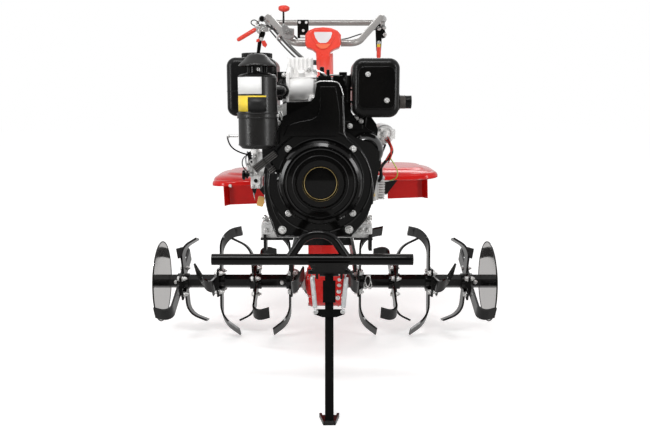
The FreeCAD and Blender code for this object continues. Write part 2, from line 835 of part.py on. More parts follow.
def build_side_units(shroud_back):
    """Starter and regulator on the right, injection pump and oil cap on the left."""
    engine = DOC.getObject("engine_block")
    x, z, foot_x = D.starter_x, D.starter_z, D.starter_foot_x
    barrel = rod("starter_barrel", D.starter_radius, D.starter_length, (x, shroud_back, z), AXIS_BACK)
    foot = block("starter_foot", (foot_x, shroud_back, z - 30),
                 (x - foot_x, D.starter_foot_thick, D.starter_foot_tall))
    keep(trimmed("starter_motor", joined("starter_union", [barrel, foot]), engine))
    keep(block("injection_pump", (-D.pump_left, shroud_back + 4, D.pump_floor),
               (D.pump_left - D.block_left, D.pump_deep, D.pump_tall)))
    y, z, wall_x = -D.oil_y, D.oil_z, -D.block_left
    neck = rod("oil_neck", 8, D.oil_neck_long, (wall_x - D.oil_neck_long, y, z), AXIS_RIGHT)
    knob_x = wall_x - D.oil_neck_long - D.oil_knob_long
    knob = rod("oil_knob", 13, D.oil_knob_long, (knob_x, y, z), AXIS_RIGHT)
    keep(joined("oil_cap", [neck, knob]))
    y, z, wall_x, deep = shroud_back + 6, D.regulator_floor, D.block_right, D.regulator_deep
    parts = [block("regulator_core", (wall_x, y, z), (D.regulator_core, deep, D.regulator_tall))]
    for n in range(5):
        fin_z = z + D.fin_pitch * n
        parts.append(block("regulator_fin_%d" % n, (wall_x + D.regulator_core, y, fin_z),
                           (D.fin_long, deep, D.fin_thick)))
    keep(joined("regulator", parts))


# ---------------------------------------------------------------- front bumper and stand

def build_bumper():
    """Straight bumper tube, hoop above it, two carriers back to the engine base and a tie."""
    y, z, r = -D.bumper_y, D.bumper_z, D.bumper_dia / 2
    length = D.bumper_left + D.bumper_right
    whole = rod("bumper_rod", r, length, (-D.bumper_left, y, z), AXIS_RIGHT)
    bore = rod("bumper_bore", r - D.tube_wall, length, (-D.bumper_left, y, z), AXIS_RIGHT)
    keep(trimmed("bumper_bar", whole, bore))
    seat = rod("bumper_seat", r + D.fit_gap, length, (-D.bumper_left, y, z), AXIS_RIGHT)
    middle = (D.hoop_right - D.hoop_left) / 2
    top = z + D.hoop_tall
    points = spots_of([(-D.hoop_left, y, z), (middle - D.hoop_flat / 2, y, top),
                       (middle + D.hoop_flat / 2, y, top), (D.hoop_right, y, z)])
    tube = formed("hoop_tube", bent_tube(points, D.hoop_bend.value, D.hoop_dia.value / 2, D.tube_wall.value))
    keep(trimmed("bumper_hoop", tube, seat))
    under_base = D.block_floor - D.base_thick
    carriers = []
    for name, x in (("left", -D.carrier_left), ("right", D.carrier_right)):
        start = D.bumper_y - D.hoop_dia / 2 - D.fit_gap
        bar = block("carrier_bar_" + name, (x, -start, under_base - D.carrier_tall),
                    (D.carrier_wide, start - D.carrier_back, D.carrier_tall))
        carriers.append(trimmed("carrier_" + name, bar, seat))
    carriers.append(block("carrier_tie", (D.carrier_wide - D.carrier_left, -D.tie_front, under_base - D.tie_tall),
                          (D.carrier_left + D.carrier_right - D.carrier_wide, D.tie_deep, D.tie_tall)))
    keep(gathered("bumper_carriers", carriers))
    cheeks = []
    for name, x in (("left", D.stand_x - 32), ("right", D.stand_x + 26)):
        cheeks.append(block("cheek_" + name, (x, y - 16, D.stand_z - 14), (6, 32, z - D.stand_z + 8)))
    front = slab("bracket_front", [(-36, D.stand_z + 4), (36, D.stand_z + 4), (50, z - 4), (-50, z - 4)], 5,
                 (D.stand_x, y - 16, 0), FRONTWARD)
    cheeks.append(front)
    pin = rod("stand_pin", D.stand_pin / 2, D.spring_spread * 2 + 20,
              (D.stand_x - D.spring_spread - 10, -D.stand_y, D.stand_z), AXIS_RIGHT)
    keep(trimmed("stand_bracket", joined("bracket_union", cheeks + [pin]), seat))


def plate_of(corners, thick):
    """Flat plate from corners in the XZ plane, its thickness along +Y."""
    spots = [Vector(x, 0, z) for x, z in corners]
    return Part.Face(Part.makePolygon(spots + spots[:1])).extrude(Vector(0, thick, 0))


def build_stand():
    """Parking stand: sleeve on the pin, square leg, cross plate, skid foot and two springs."""
    x, y, z = D.stand_x.value, -D.stand_y.value, D.stand_z.value
    foot_y = -D.front_reach.value + D.skid_long.value / 2
    lean = math.degrees(math.atan2(y - foot_y, z))
    bar, bore = D.stand_bar.value, D.stand_pin.value / 2 + D.bore_gap.value
    length = math.hypot(y - foot_y, z)
    sleeve = ring(bore + 5, bore, 46, Vector(-23, 0, 0), AXIS_RIGHT)
    leg = Part.makeBox(bar, bar, length + 40, Vector(-bar / 2, -bar / 2, -length - 40))
    leg = leg.cut(Part.makeCylinder(bore + 4, 60, Vector(-30, 0, 0), Vector(1, 0, 0)))
    face_y = -bar / 2 - 6
    ear, drop = D.ear_spread.value + 4, D.ear_drop.value
    ears = plate_of([(-ear, 6 - drop), (ear, 6 - drop), (ear, -6 - drop), (16, -13 - drop), (-16, -13 - drop),
                     (-ear, -6 - drop)], 6)
    ears.translate(Vector(0, face_y, 0))
    stop = Part.makeBox(30, 6, 52, Vector(-15, face_y, -74))
    whole = sleeve.multiFuse([leg, ears, stop])
    whole.Placement = Placement(Vector(x, y, z), Rotation(Vector(1, 0, 0), -lean))
    ground = Part.makeBox(200, 200, 200, Vector(x - 100, foot_y - 100, -200 + D.skid_thick.value))
    bar_solid = formed("leg_solid", whole.cut(ground))
    wide, nose, front, back = D.skid_wide / 2, D.skid_nose / 2, -D.front_reach, D.skid_long - D.front_reach
    plate = slab("skid_plate", [(-nose, front), (nose, front), (wide, back), (-wide, back)], D.skid_thick,
                 (D.stand_x, 0, 0))
    dish = slab("skid_dish", [(-nose, front), (nose, front), (wide, back), (-wide, back)], D.skid_rim,
                (D.stand_x, 0, 0))
    wall = D.skid_thick
    well = slab("skid_well", [(nose - wall, front - wall), (wide - wall, back + wall), (wall - wide, back + wall),
                              (wall - nose, front - wall)], D.skid_rim + wall, (D.stand_x, 0, 0))
    rims = trimmed("skid_rims", dish, well)
    keep(joined("stand_leg", [bar_solid, plate, rims]))
    springs = []
    for side in (-1, 1):
        top = Vector(side * D.spring_spread.value, 0, 0)
        low = Vector(side * D.ear_spread.value, face_y - 9, -drop)
        eye = ring(bore + 3, bore, 5, Vector(top.x - 2.5, 0, 0), AXIS_RIGHT)
        line = (low - top).normalize()
        start = top + line * (bore + 2)
        coil = Part.makeCylinder(D.spring_radius.value, (low - start).Length, start, line)
        coil = coil.cut(Part.makeCylinder(bore, 12, Vector(top.x - 6, 0, 0), Vector(1, 0, 0)))
        hook = Part.makeCylinder(4, 9, low, Vector(0, 1, 0))
        spring = eye.multiFuse([coil, hook])
        spring.Placement = Placement(Vector(x, y, z), Rotation(Vector(1, 0, 0), -lean))
        springs.append(spring)
    keep(formed("stand_springs", Part.makeCompound(springs)))


# ---------------------------------------------------------------- fenders

def fender_form(name, side, inset, tall, spot, turn):
    """Solid dome on one side: big nose corner in plan, small tail corner, rounded top rim."""
    outer = (D.fender_half - inset) * side
    front, back = inset - D.fender_front, D.fender_back - inset
    hidden = -60 * side
    body = slab(name, [(outer, front), (hidden, front), (hidden, back), (outer, back)], tall, spot, turn)
    middle = float(front + back) / 2

    def outboard(edge):
        return is_upright(edge) and edge.BoundBox.XMax * side > 0

    nose = rounded(body, name + "_nose", body.Tip, D.fender_nose_round - inset,
                   lambda edge: outboard(edge) and edge.BoundBox.YMin < middle)
    tail = rounded(body, name + "_tail", nose, D.fender_tail_round - inset,
                   lambda edge: outboard(edge) and edge.BoundBox.YMin > middle)
    top = float(sized(tall))
    rounded(body, name + "_rim", tail, D.fender_rim_round - inset, lambda edge: edge_height(edge) > top - 0.01)
    return place(body, spot, turn)


def build_fenders():
    """Domed fenders with a curtain behind, on flat carriers from the gear case.

    The pair leans with the carriers: a little lower at the back and on the left.
    """
    lean = Rotation(Vector(0, 1, 0), -D.fender_roll.value).multiply(Rotation(Vector(1, 0, 0), -D.fender_slope.value))
    carriers = []
    for name, side in (("left", -1), ("right", 1)):
        skin = fender_skin(name, side, lean)
        keep(joined("fender_" + name, [skin, fender_curtain(name, side, lean)]))
        carriers.append(fender_carrier(name, side, lean))
    keep(gathered("fender_carriers", carriers))


def fender_skin(name, side, lean):
    """Hollow dome with a raised panel on it, open over the middle of the machine."""
    skin, lip, deep = D.fender_skin, D.fender_lip_z, D.fender_deep
    dome = fender_form("dome_" + name, side, sized(0), deep, (0, 0, lip), lean)
    hollow = fender_form("hollow_" + name, side, skin, deep, (0, 0, lip - skin), lean)
    inner, outer = D.fender_inner * side, (D.fender_half - D.panel_inset) * side
    front, back = D.panel_start, D.fender_back - D.panel_end
    panel = slab("panel_" + name, [(inner, front), (outer, front), (outer, back), (inner, back)], D.panel_rise + 1,
                 (0, 0, lip + deep - 1), lean, corner_round=D.fender_tail_round, rim_round=D.panel_rise / 2)
    cutter = block("open_" + name, (-D.fender_inner, -400, lip - 150), (D.fender_inner * 2, 900, 300))
    shell = trimmed("shell_" + name, dome, hollow)
    return trimmed("half_" + name, joined("skin_" + name, [shell, panel]), cutter)


def fender_curtain(name, side, lean):
    """Upright sheet behind the rotor, its outer end folded forward."""
    skin, back, inner = D.fender_skin, D.fender_back, D.curtain_inner * side
    outer, wall = D.fender_half * side, D.fender_skin * side
    fold, front = outer - D.fender_tail_round * side, back - D.curtain_return
    sides = [(inner, back - skin), (fold - wall / 2, back - skin), (outer - wall, front), (outer, front),
             (fold, back), (inner, back)]
    hem = lean.multVec(Vector(0, 0, -D.curtain_drop.value))
    return slab("curtain_" + name, sides, D.curtain_drop + D.fender_deep / 2,
                (hem.x, hem.y, D.fender_lip_z + hem.z), lean)


def fender_carrier(name, side, lean):
    """Flat arm under the fender with a gusset plate below it, cut round the gear case."""
    foot = D.fender_lip_z + D.fender_deep - D.fender_skin - D.fit_gap - D.arm_thick
    start, reach = (D.case_half - 4) * side, D.arm_reach * side
    front, back = D.arm_start_y, D.arm_start_y + D.arm_wide
    arm = slab("carrier_arm_" + name, [(start, front), (reach, front), (reach, back), (start, back)], D.arm_thick,
               (0, 0, foot), lean)
    low = foot - D.gusset_drop
    gusset = slab("carrier_gusset_" + name, [(150 * side, foot + 4), (227 * side, foot + 4), (193 * side, low),
                                             (150 * side, low)], 4, (0, front + 4, 0), FRONTWARD)
    return trimmed("carrier_fit_" + name, joined("carrier_" + name, [arm, gusset]), DOC.getObject("gear_case"))


# ---------------------------------------------------------------- handlebar

def build_handlebar():
    """Column on a cross pin behind the gear case, console, two arms, cross bar and grips."""
    foot_y, foot_z = D.case_back + 36, D.column_foot_z
    cheeks = []
    gap, thick = D.cheek_gap, D.cheek_thick
    for name, x in (("left", -gap - thick), ("right", gap)):
        cheeks.append(block("column_cheek_" + name, (x, D.case_back, foot_z - 34), (thick, 60, 62)))
    pin = rod("column_pin", D.column_pin, 100, (-50, foot_y, foot_z), AXIS_RIGHT)
    keep(joined("column_bracket", cheeks + [pin]))
    console = build_console()
    foot = Vector(0, float(foot_y), float(foot_z))
    head = Vector(0, float(D.console_y + D.console_deep / 2), float(D.console_floor + 20))
    column = Part.makeCylinder(D.column_radius.value, (head - foot).Length, foot, head - foot)
    boss = Part.makeCylinder(28, 66, foot - Vector(33, 0, 0), Vector(1, 0, 0))
    shape = column.fuse(boss)
    bore = D.column_pin.value + D.bore_gap.value
    hole = Part.makeCylinder(bore, 120, foot - Vector(60, 0, 0), Vector(1, 0, 0))
    column_solid = formed("column_solid", shape.cut(hole))
    keep(trimmed("handle_column", column_solid, console))
    r = D.bar_dia.value / 2
    start_y = D.console_y + 45
    for name, side in (("left", -1), ("right", 1)):
        points = spots_of([(10 * side, start_y, D.bar_start_z), (120 * side, start_y, D.bar_start_z),
                           (D.elbow_x * side, D.elbow_y, D.elbow_z), (D.grip_x * side, D.elbow_y + 150, D.grip_z),
                           (D.grip_x * side, D.rear_reach - D.grip_wall, D.grip_z)])
        tube = formed("arm_tube_" + name, bent_tube(points, 45.0, r, D.tube_wall.value))
        keep(trimmed("handle_arm_" + name, tube, console))
    gap = D.grip_x - D.bar_dia / 2 - D.fit_gap
    bar = rod("cross_rod", D.bar_dia / 2, gap * 2, (-gap, D.cross_y, D.grip_z), AXIS_RIGHT)
    bore = rod("cross_bore", D.bar_dia / 2 - D.tube_wall, gap * 2, (-gap, D.cross_y, D.grip_z), AXIS_RIGHT)
    keep(trimmed("cross_bar", bar, bore))
    grips = []
    for name, side in (("left", -1), ("right", 1)):
        start = D.rear_reach - D.grip_length
        sleeve = rod("grip_solid_" + name, D.bar_dia / 2 + D.grip_wall, D.grip_length,
                     (D.grip_x * side, start, D.grip_z), AXIS_BACK)
        hole = rod("grip_hole_" + name, D.bar_dia / 2 + D.fit_gap, D.grip_length - D.grip_wall + D.fit_gap,
                   (D.grip_x * side, start, D.grip_z), AXIS_BACK)
        grips.append(trimmed("grip_" + name, sleeve, hole))
    keep(gathered("handle_grips", grips))
    build_controls(console)


def build_console():
    """Shield-shaped console, widest above its middle, on a short neck round the column."""
    left, right, low, tall = -D.console_left, D.console_right, D.console_floor, D.console_tall
    middle = (left + right) / 2
    waist = D.neck_wide / 2
    top = low + tall
    sides = [(middle - waist, low + 24), (middle + waist, low + 24), (right, low + 46), (right, top - 22),
             (right - 28, top), (left + 36, top), (left, top - 22), (left, low + 46)]
    shield = slab("console_shield", sides, D.console_deep, (0, D.console_y + D.console_deep, 0), FRONTWARD,
                  corner_round=D.console_round, rim_round=D.console_round - 3)
    stem = [(middle - waist, low), (middle + waist, low - D.neck_drop), (middle + waist, low + 60),
            (middle - waist, low + 60)]
    neck = slab("console_neck", stem, D.neck_deep, (0, D.console_y + D.console_deep - 10, 0), FRONTWARD,
                corner_round=D.cover_round, rim_round=D.cover_round)
    return keep(joined("console", [shield, neck]))


def build_controls(console):
    """Gear lever and hand levers on the handlebar."""
    low = D.console_floor + D.gate_rise
    gate_end = -D.console_left + D.console_round
    gate = block("gate_box", (-D.gate_reach, D.console_y + D.console_round, low),
                 (D.gate_reach + gate_end, D.gate_deep, D.gate_tall))
    stem_x = D.knob_radius + 4 - D.gate_reach
    stem_y = D.console_y + D.console_round + D.gate_deep / 2
    stem = rod("lever_stem", 4, D.stem_long, (stem_x, stem_y, low + D.gate_tall))
    knob = DOC.addObject("Part::Sphere", "lever_knob")
    bind(knob, "Radius", D.knob_radius)
    place(knob, (stem_x, stem_y, low + D.gate_tall + D.stem_long + 5))
    keep(trimmed("gear_lever", joined("lever_union", [gate, stem, knob]), console))
    post_y, post_top = D.cross_y - D.post_from_bar, D.grip_z - D.bar_dia / 2
    post_wide, post_tall = D.post_wide, D.post_tall
    wide, thick = D.lever_wide, D.lever_thick
    levers = []
    for name, side, long in (("left", -1, D.left_lever_long), ("right", 1, D.right_lever_long)):
        x = D.grip_x * side
        post = block("lever_post_" + name, (x - post_wide / 2, post_y, post_top - post_tall),
                     (post_wide, post_tall, post_tall))
        swing = Rotation(Vector(1, 0, 0), 90 + 12)
        sides = [(-wide / 2, -long), (wide / 2, -long), (wide / 2, 4), (-wide / 2, 4)]
        arm = slab("lever_arm_" + name, sides, thick, (x, post_y + post_wide, post_top - post_tall + 2), swing)
        levers.append(joined("lever_" + name, [post, arm]))
    pull_start = Vector(-float(D.grip_x), float(post_y) + 12, float(post_top) - 12)
    pull_line = Vector(-D.pull_reach.value, 0, -D.pull_drop.value)
    pull = Part.makeCylinder(D.pull_radius.value, pull_line.Length, pull_start, pull_line)
    with_pull = joined("lever_left_whole", [levers[0], formed("lever_pull", pull)])
    keep(gathered("hand_levers", [with_pull, levers[1]]))


def cord(points, radius):
    """Round cord along hand-chosen points, each corner as round as its two runs allow."""
    edges = []
    start = points[0]
    for before, corner, after in zip(points, points[1:], points[2:]):
        inward, outward = corner - before, after - corner
        shorter = min(inward.Length, outward.Length)
        inward.normalize()
        outward.normalize()
        half = inward.getAngle(outward) / 2
        reach = 0.45 * shorter
        bend = reach / math.tan(half)
        first, last = corner - inward * reach, corner + outward * reach
        middle = corner + (outward - inward).normalize() * (bend / math.cos(half) - bend)
        edges.append(Part.LineSegment(start, first).toShape())
        edges.append(Part.Arc(first, middle, last).toShape())
        start = last
        print("cord bend radius %.0f" % bend)
    edges.append(Part.LineSegment(start, points[-1]).toShape())
    path = Part.Wire(edges)
    section = Part.Wire(Part.Circle(points[0], points[1] - points[0], radius).toShape())
    solid = path.makePipeShell([section], True, False)
    print("cord length %.0f, volume ratio %.4f" % (path.Length, solid.Volume / (math.pi * radius ** 2 * path.Length)))
    return solid


def build_cables():
    """Two cables, each from a hand lever's post along the arm and down to the console."""
    lever_z = D.grip_z - D.bar_dia / 2 - 13
    start_y = D.cross_y - D.post_from_bar
    entry_y = D.console_y + D.entry_back
    entry_z = D.console_floor + D.entry_rise
    step = (start_y - entry_y) / 294
    drop = (lever_z - entry_z) / 118
    tubes = []
    sides = ((-1, D.console_left, D.cable_radius), (1, D.console_right, D.thin_cable_radius))
    for side, wall_x, radius in sides:
        points = [(D.grip_x, start_y, lever_z), (D.grip_x, start_y - step * 60, lever_z),
                  (233, start_y - step * 118, lever_z - drop * 10), (219, start_y - step * 168, lever_z - drop * 24),
                  (193, start_y - step * 212, lever_z - drop * 46), (160, start_y - step * 250, lever_z - drop * 72),
                  (126, start_y - step * 278, lever_z - drop * 100),
                  (wall_x + 30, entry_y, entry_z), (wall_x, entry_y, entry_z)]
        tubes.append(cord(spots_of([(x * side, y, z) for x, y, z in points]), radius.value))
    keep(formed("cables", Part.makeCompound(tubes)))


def main():
    """Build every sub-part, check it and write its STEP file."""
    build_rotor()
    build_case()
    build_engine()
    build_bumper()
    build_stand()
    build_fenders()
    build_handlebar()
    build_cables()
    DOC.recompute()
    for item in DOC.Objects:
        if "Invalid" in item.State or "Error" in item.State:
            raise RuntimeError("%s failed: %s" % (item.Name, item.State))
    os.makedirs("parts", exist_ok=True)
    for item in SUBPARTS:
        if item.Shape.isNull() or not item.Shape.isValid():
            raise RuntimeError("%s has no valid shape" % item.Label)
        item.Shape.exportStep("parts/%s.step" % item.Label)
        print(item.Label, len(item.Shape.Solids), round(item.Shape.Volume / 1000), item.Shape.BoundBox)


main()
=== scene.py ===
"""Looks of the garden tiller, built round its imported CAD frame. Metres, same frame."""
import math

import bmesh
import bpy
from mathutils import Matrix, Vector


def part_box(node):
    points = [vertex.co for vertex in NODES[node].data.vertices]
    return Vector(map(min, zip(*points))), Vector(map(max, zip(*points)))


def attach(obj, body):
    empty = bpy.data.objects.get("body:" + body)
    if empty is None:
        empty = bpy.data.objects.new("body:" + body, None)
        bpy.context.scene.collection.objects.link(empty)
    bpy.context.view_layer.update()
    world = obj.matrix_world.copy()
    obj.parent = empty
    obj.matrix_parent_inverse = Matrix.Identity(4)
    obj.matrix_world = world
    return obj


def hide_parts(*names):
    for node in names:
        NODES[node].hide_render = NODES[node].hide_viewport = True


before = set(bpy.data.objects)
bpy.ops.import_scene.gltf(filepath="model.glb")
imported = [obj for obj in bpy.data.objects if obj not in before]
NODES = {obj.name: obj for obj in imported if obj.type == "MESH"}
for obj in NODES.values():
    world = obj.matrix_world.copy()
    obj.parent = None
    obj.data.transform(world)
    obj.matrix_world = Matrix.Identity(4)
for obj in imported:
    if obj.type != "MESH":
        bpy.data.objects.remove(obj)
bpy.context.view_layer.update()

MM = 0.001
X, Y, Z = Vector((1, 0, 0)), Vector((0, 1, 0)), Vector((0, 0, 1))

rotor_low, rotor_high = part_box("rotor_axle")
AXLE_Y = (rotor_low.y + rotor_high.y) / 2
AXLE_MM = (rotor_low.z + rotor_high.z) / 2 / MM


def spot(x, y, z):
    """A point in millimetres, its Y counted from the rotor axle, as the CAD counts it."""
    return Vector((x * MM, AXLE_Y + y * MM, z * MM))


def around(first, second, angle):
    """Direction at an angle from a first one towards a second one."""
    return first * math.cos(angle) + second * math.sin(angle)


def add_object(name, data):
    """New object of the scene that holds a mesh, curve, lamp or camera."""
    item = bpy.data.objects.new(name, data)
    bpy.context.scene.collection.objects.link(item)
    return item


# ---- shader nodes

def shader_node(tree, kind, feeds=None, values=None, **settings):
    """New shader node with its settings, its plain values and what feeds its inputs."""
    node = tree.nodes.new("ShaderNode" + kind)
    for key, setting in settings.items():
        setattr(node, key, setting)
    for key, value in (values or {}).items():
        node.inputs[key].default_value = value
    for key, socket in (feeds or {}).items():
        tree.links.new(socket, node.inputs[key])
    return node


def ranged(tree, socket, low, high, start=0.3, end=0.7, curve="LINEAR"):
    """A value between start and end spread onto another range."""
    limits = {"From Min": start, "From Max": end, "To Min": low, "To Max": high}
    return shader_node(tree, "MapRange", {"Value": socket}, limits, interpolation_type=curve).outputs[0]


def mixed(tree, factor, first, second):
    """Shader between two others."""
    return shader_node(tree, "MixShader", {"Fac": factor, 1: first.outputs[0], 2: second.outputs[0]})


# ---- camera, light and floor

SENSOR_WIDTH, LENS = 36.0, 38.77
CAMERA_AHEAD, CAMERA_HEIGHT, CAMERA_DIP = 2.09, 0.729, 9.45
LAMPS = (  # name, place, aim, size, power
    ("key", (-0.4, -2.0, 3.0), (0, -0.3, 0.5), (1.9, 0.35), 40),
    ("left_strip", (-2.6, -2.2, 1.1), (0, -0.4, 0.55), (0.40, 2.0), 32),
    ("right_strip", (2.5, -2.3, 1.1), (0, -0.4, 0.55), (0.40, 2.0), 30),
    ("back", (0.4, 2.4, 2.4), (0, 0, 0.7), (2.2, 1.0), 22),
)
WORLD_LIGHT = 0.50
SHINE_FRONT, SHINE_REST = 0.05, 1.0  # light that the machine's shine sees ahead of it and elsewhere
SHINE_START, SHINE_END = -0.95, -0.35  # the looking direction's Y between which it rises
FLOOR_HALF = 14
FLOOR_WHITE = (0.86, 0.855, 0.85, 1)
GLOW_NEAR, GLOW_FAR = 0.44, 0.66
FADE_START, FADE_END = 0.8, 2.6
SHINE_FLOOR, SHINE_FLOOR_LIGHT = (1, 0.99, 0.98, 1), 0.48


def make_camera():
    """Camera in front of the machine, a little above the fenders and looking slightly down."""
    data = bpy.data.cameras.new("camera")
    data.sensor_width = SENSOR_WIDTH
    data.lens = LENS
    camera = add_object("camera", data)
    camera.location = (0, AXLE_Y - CAMERA_AHEAD, CAMERA_HEIGHT)
    camera.rotation_euler = (math.radians(90 - CAMERA_DIP), 0, 0)
    bpy.context.scene.camera = camera


def area_lamp(name, place, aim, size, power):
    """Soft rectangular lamp that looks at a point."""
    data = bpy.data.lights.new(name, "AREA")
    data.shape = "RECTANGLE"
    data.size, data.size_y = size
    data.energy = power
    lamp = add_object(name, data)
    lamp.location = place
    lamp.rotation_euler = (Vector(aim) - Vector(place)).to_track_quat("-Z", "Y").to_euler()


def make_world():
    """Even pale light, pure white behind the machine, and a dimmer front half for the shine."""
    world = bpy.data.worlds.new("studio")
    world.use_nodes = True
    bpy.context.scene.world = world
    tree = world.node_tree
    tree.nodes.clear()
    soft = shader_node(tree, "Background", values={"Strength": WORLD_LIGHT})
    white = shader_node(tree, "Background", values={"Color": (1, 1, 1, 1), "Strength": 1.0})
    coords = shader_node(tree, "TexCoord")
    parts = shader_node(tree, "SeparateXYZ", {0: coords.outputs["Generated"]})
    ahead = ranged(tree, parts.outputs["Y"], SHINE_FRONT, SHINE_REST, SHINE_START, SHINE_END,
                   "SMOOTHSTEP")
    shine = shader_node(tree, "Background", {"Strength": ahead})
    path = shader_node(tree, "LightPath")
    unseen = mixed(tree, path.outputs["Is Glossy Ray"], soft, shine)
    seen = mixed(tree, path.outputs["Is Camera Ray"], unseen, white)
    shader_node(tree, "OutputWorld", {"Surface": seen.outputs[0]})


def make_floor():
    """Plain white floor that keeps the machine's shadow, and shows grey in the machine's shine."""
    bm = bmesh.new()
    bmesh.ops.create_grid(bm, x_segments=1, y_segments=1, size=FLOOR_HALF)
    mesh = bpy.data.meshes.new("floor")
    bm.to_mesh(mesh)
    bm.free()
    floor = add_object("floor", mesh)
    material = bpy.data.materials.new("floor_white")
    material.use_nodes = True
    tree = material.node_tree
    tree.nodes.clear()
    matt = shader_node(tree, "BsdfDiffuse", values={"Color": FLOOR_WHITE})
    place = shader_node(tree, "TexCoord")
    distance = shader_node(tree, "VectorMath", {0: place.outputs["Object"]}, operation="LENGTH")
    fade = ranged(tree, distance.outputs["Value"], GLOW_NEAR, GLOW_FAR, FADE_START, FADE_END)
    glow = shader_node(tree, "Emission", {"Strength": fade}, {"Color": (1, 1, 1, 1)})
    both = shader_node(tree, "AddShader", {0: matt.outputs[0], 1: glow.outputs[0]})
    dim = shader_node(tree, "Emission", values={"Color": SHINE_FLOOR, "Strength": SHINE_FLOOR_LIGHT})
    path = shader_node(tree, "LightPath")
    seen = mixed(tree, path.outputs["Is Camera Ray"], matt, both)
    mix = mixed(tree, path.outputs["Is Glossy Ray"], seen, dim)
    shader_node(tree, "OutputMaterial", {"Surface": mix.outputs[0]})
    mesh.materials.append(material)


bpy.context.scene.view_settings.view_transform = "Standard"
make_camera()
make_world()
make_floor()
for lamp_values in LAMPS:
    area_lamp(*lamp_values)


# ---- materials

COAT_ROUGHNESS = 0.06
SMOOTHEST, ROUGHEST = 0.8, 1.25  # share of a finish's roughness that its smears reach


def object_noise(tree, scale, detail=3.0, stretch=(1, 1, 1)):
    """Value socket of noise in the object's own metres."""
    coords = shader_node(tree, "TexCoord")
    mapping = shader_node(tree, "Mapping", {"Vector": coords.outputs["Object"]}, {"Scale": stretch})
    fineness = {"Scale": scale, "Detail": detail}
    return shader_node(tree, "TexNoise", {"Vector": mapping.outputs[0]}, fineness).outputs["Fac"]


def surface(name, first, second, rough, metal=0.0, coat=0.0, grain=700, depth=0.12, patch=9.0,
            stretch=(1, 1, 1), reach=0.0004, level=0.5):
    """General finish: two close tones in soft patches, varied roughness and fine bump."""
    material = bpy.data.materials.new(name)
    material.use_nodes = True
    tree = material.node_tree
    shader = tree.nodes["Principled BSDF"]
    values = {"Metallic": metal, "Coat Weight": coat, "Coat Roughness": COAT_ROUGHNESS,
              "Specular IOR Level": level}
    for key, value in values.items():
        shader.inputs[key].default_value = value
    tone = ranged(tree, object_noise(tree, patch), 0, 1)
    tones = {"A": (*first, 1), "B": (*second, 1)}
    colour = shader_node(tree, "Mix", {"Factor": tone}, tones, data_type="RGBA")
    smear = object_noise(tree, patch * 3, 4.0, stretch)
    roughness = ranged(tree, smear, rough * SMOOTHEST, rough * ROUGHEST)
    height = object_noise(tree, grain, 2.0, stretch)
    bump = shader_node(tree, "Bump", {"Height": height}, {"Strength": depth, "Distance": reach})
    tree.links.new(colour.outputs["Result"], shader.inputs["Base Color"])
    tree.links.new(roughness, shader.inputs["Roughness"])
    tree.links.new(bump.outputs[0], shader.inputs["Normal"])
    return material


BLACK_GLOSS = surface(
    "black_gloss", (0.0025, 0.0025, 0.0025), (0.0045, 0.0042, 0.004), 0.11, coat=0.15,
    grain=220, depth=0.02, level=0.16)
BLACK_RIM = surface(
    "black_rim", (0.003, 0.003, 0.003), (0.005, 0.0047, 0.0045), 0.13, coat=0.9, grain=220, depth=0.02)
BLACK_PAINT = surface(
    "black_paint", (0.0035, 0.0035, 0.0035), (0.007, 0.0065, 0.006), 0.2, coat=0.2,
    grain=400, depth=0.05, level=0.2)
TINE_BLACK = surface(
    "tine_black", (0.003, 0.003, 0.003), (0.006, 0.0056, 0.0053), 0.15, coat=0.35,
    grain=260, depth=0.04, level=0.22)
BLACK_MATT = surface(
    "black_matt", (0.004, 0.004, 0.004), (0.008, 0.0075, 0.007), 0.27, grain=900, depth=0.15, level=0.22)
BLACK_PLASTIC = surface(
    "black_plastic", (0.004, 0.004, 0.004), (0.007, 0.007, 0.007), 0.3, grain=1500, depth=0.15, level=0.22)
GREY_PLASTIC = surface(
    "grey_plastic", (0.006, 0.0057, 0.0055), (0.01, 0.0095, 0.009), 0.3, grain=1600, depth=0.2, level=0.4)
STUB_BROWN = surface(
    "stub_brown", (0.06, 0.052, 0.047), (0.08, 0.07, 0.063), 0.42, metal=0.2,
    grain=900, depth=0.15, level=0.3)
# Lighter grey than the grip's plastic: painted highlight, on the pull handle's ribs and as a line along the
# rope guard's edge.
RIB_HIGHLIGHT_GREY = surface(
    "rib_highlight_grey", (0.14, 0.135, 0.13), (0.2, 0.19, 0.18), 0.4, grain=1600, depth=0.2, level=0.3)
RED_PAINT = surface(
    "red_paint", (0.62, 0.009, 0.008), (0.72, 0.014, 0.011), 0.2, coat=0.25,
    grain=260, depth=0.05, level=0.22)
CONSOLE_RED = surface(
    "console_red", (0.8, 0.06, 0.038), (0.88, 0.08, 0.05), 0.32, coat=0.2, grain=900, depth=0.1, level=0.35)
FLAP_RED = surface("flap_red", (0.86, 0.16, 0.08), (0.9, 0.2, 0.1), 0.4, grain=900, depth=0.1, level=0.3)
CASE_RED = surface(
    "case_red", (0.62, 0.009, 0.008), (0.74, 0.016, 0.012), 0.26, coat=0.25,
    grain=150, depth=0.3, reach=0.0008, level=0.22)
CAST = surface(
    "cast_aluminium", (0.68, 0.675, 0.665), (0.82, 0.815, 0.805), 0.4, metal=0.25,
    grain=320, depth=0.45, reach=0.0008)
HEAD_CAST = surface(
    "head_cast", (0.91, 0.9, 0.885), (0.96, 0.95, 0.935), 0.45, grain=240, depth=0.35, reach=0.0008)
PLATE = surface(
    "disc_plate", (0.9, 0.88, 0.87), (0.96, 0.94, 0.93), 0.12, metal=1.0,
    grain=500, depth=0.03, stretch=(1, 1, 6))
ZINC = surface("zinc", (0.8, 0.8, 0.79), (0.9, 0.89, 0.87), 0.28, metal=0.7, grain=900, depth=0.1, patch=40)
SPRING = surface(
    "spring_zinc", (0.62, 0.63, 0.64), (0.74, 0.75, 0.76), 0.34, metal=0.6, grain=900, depth=0.1, patch=40)
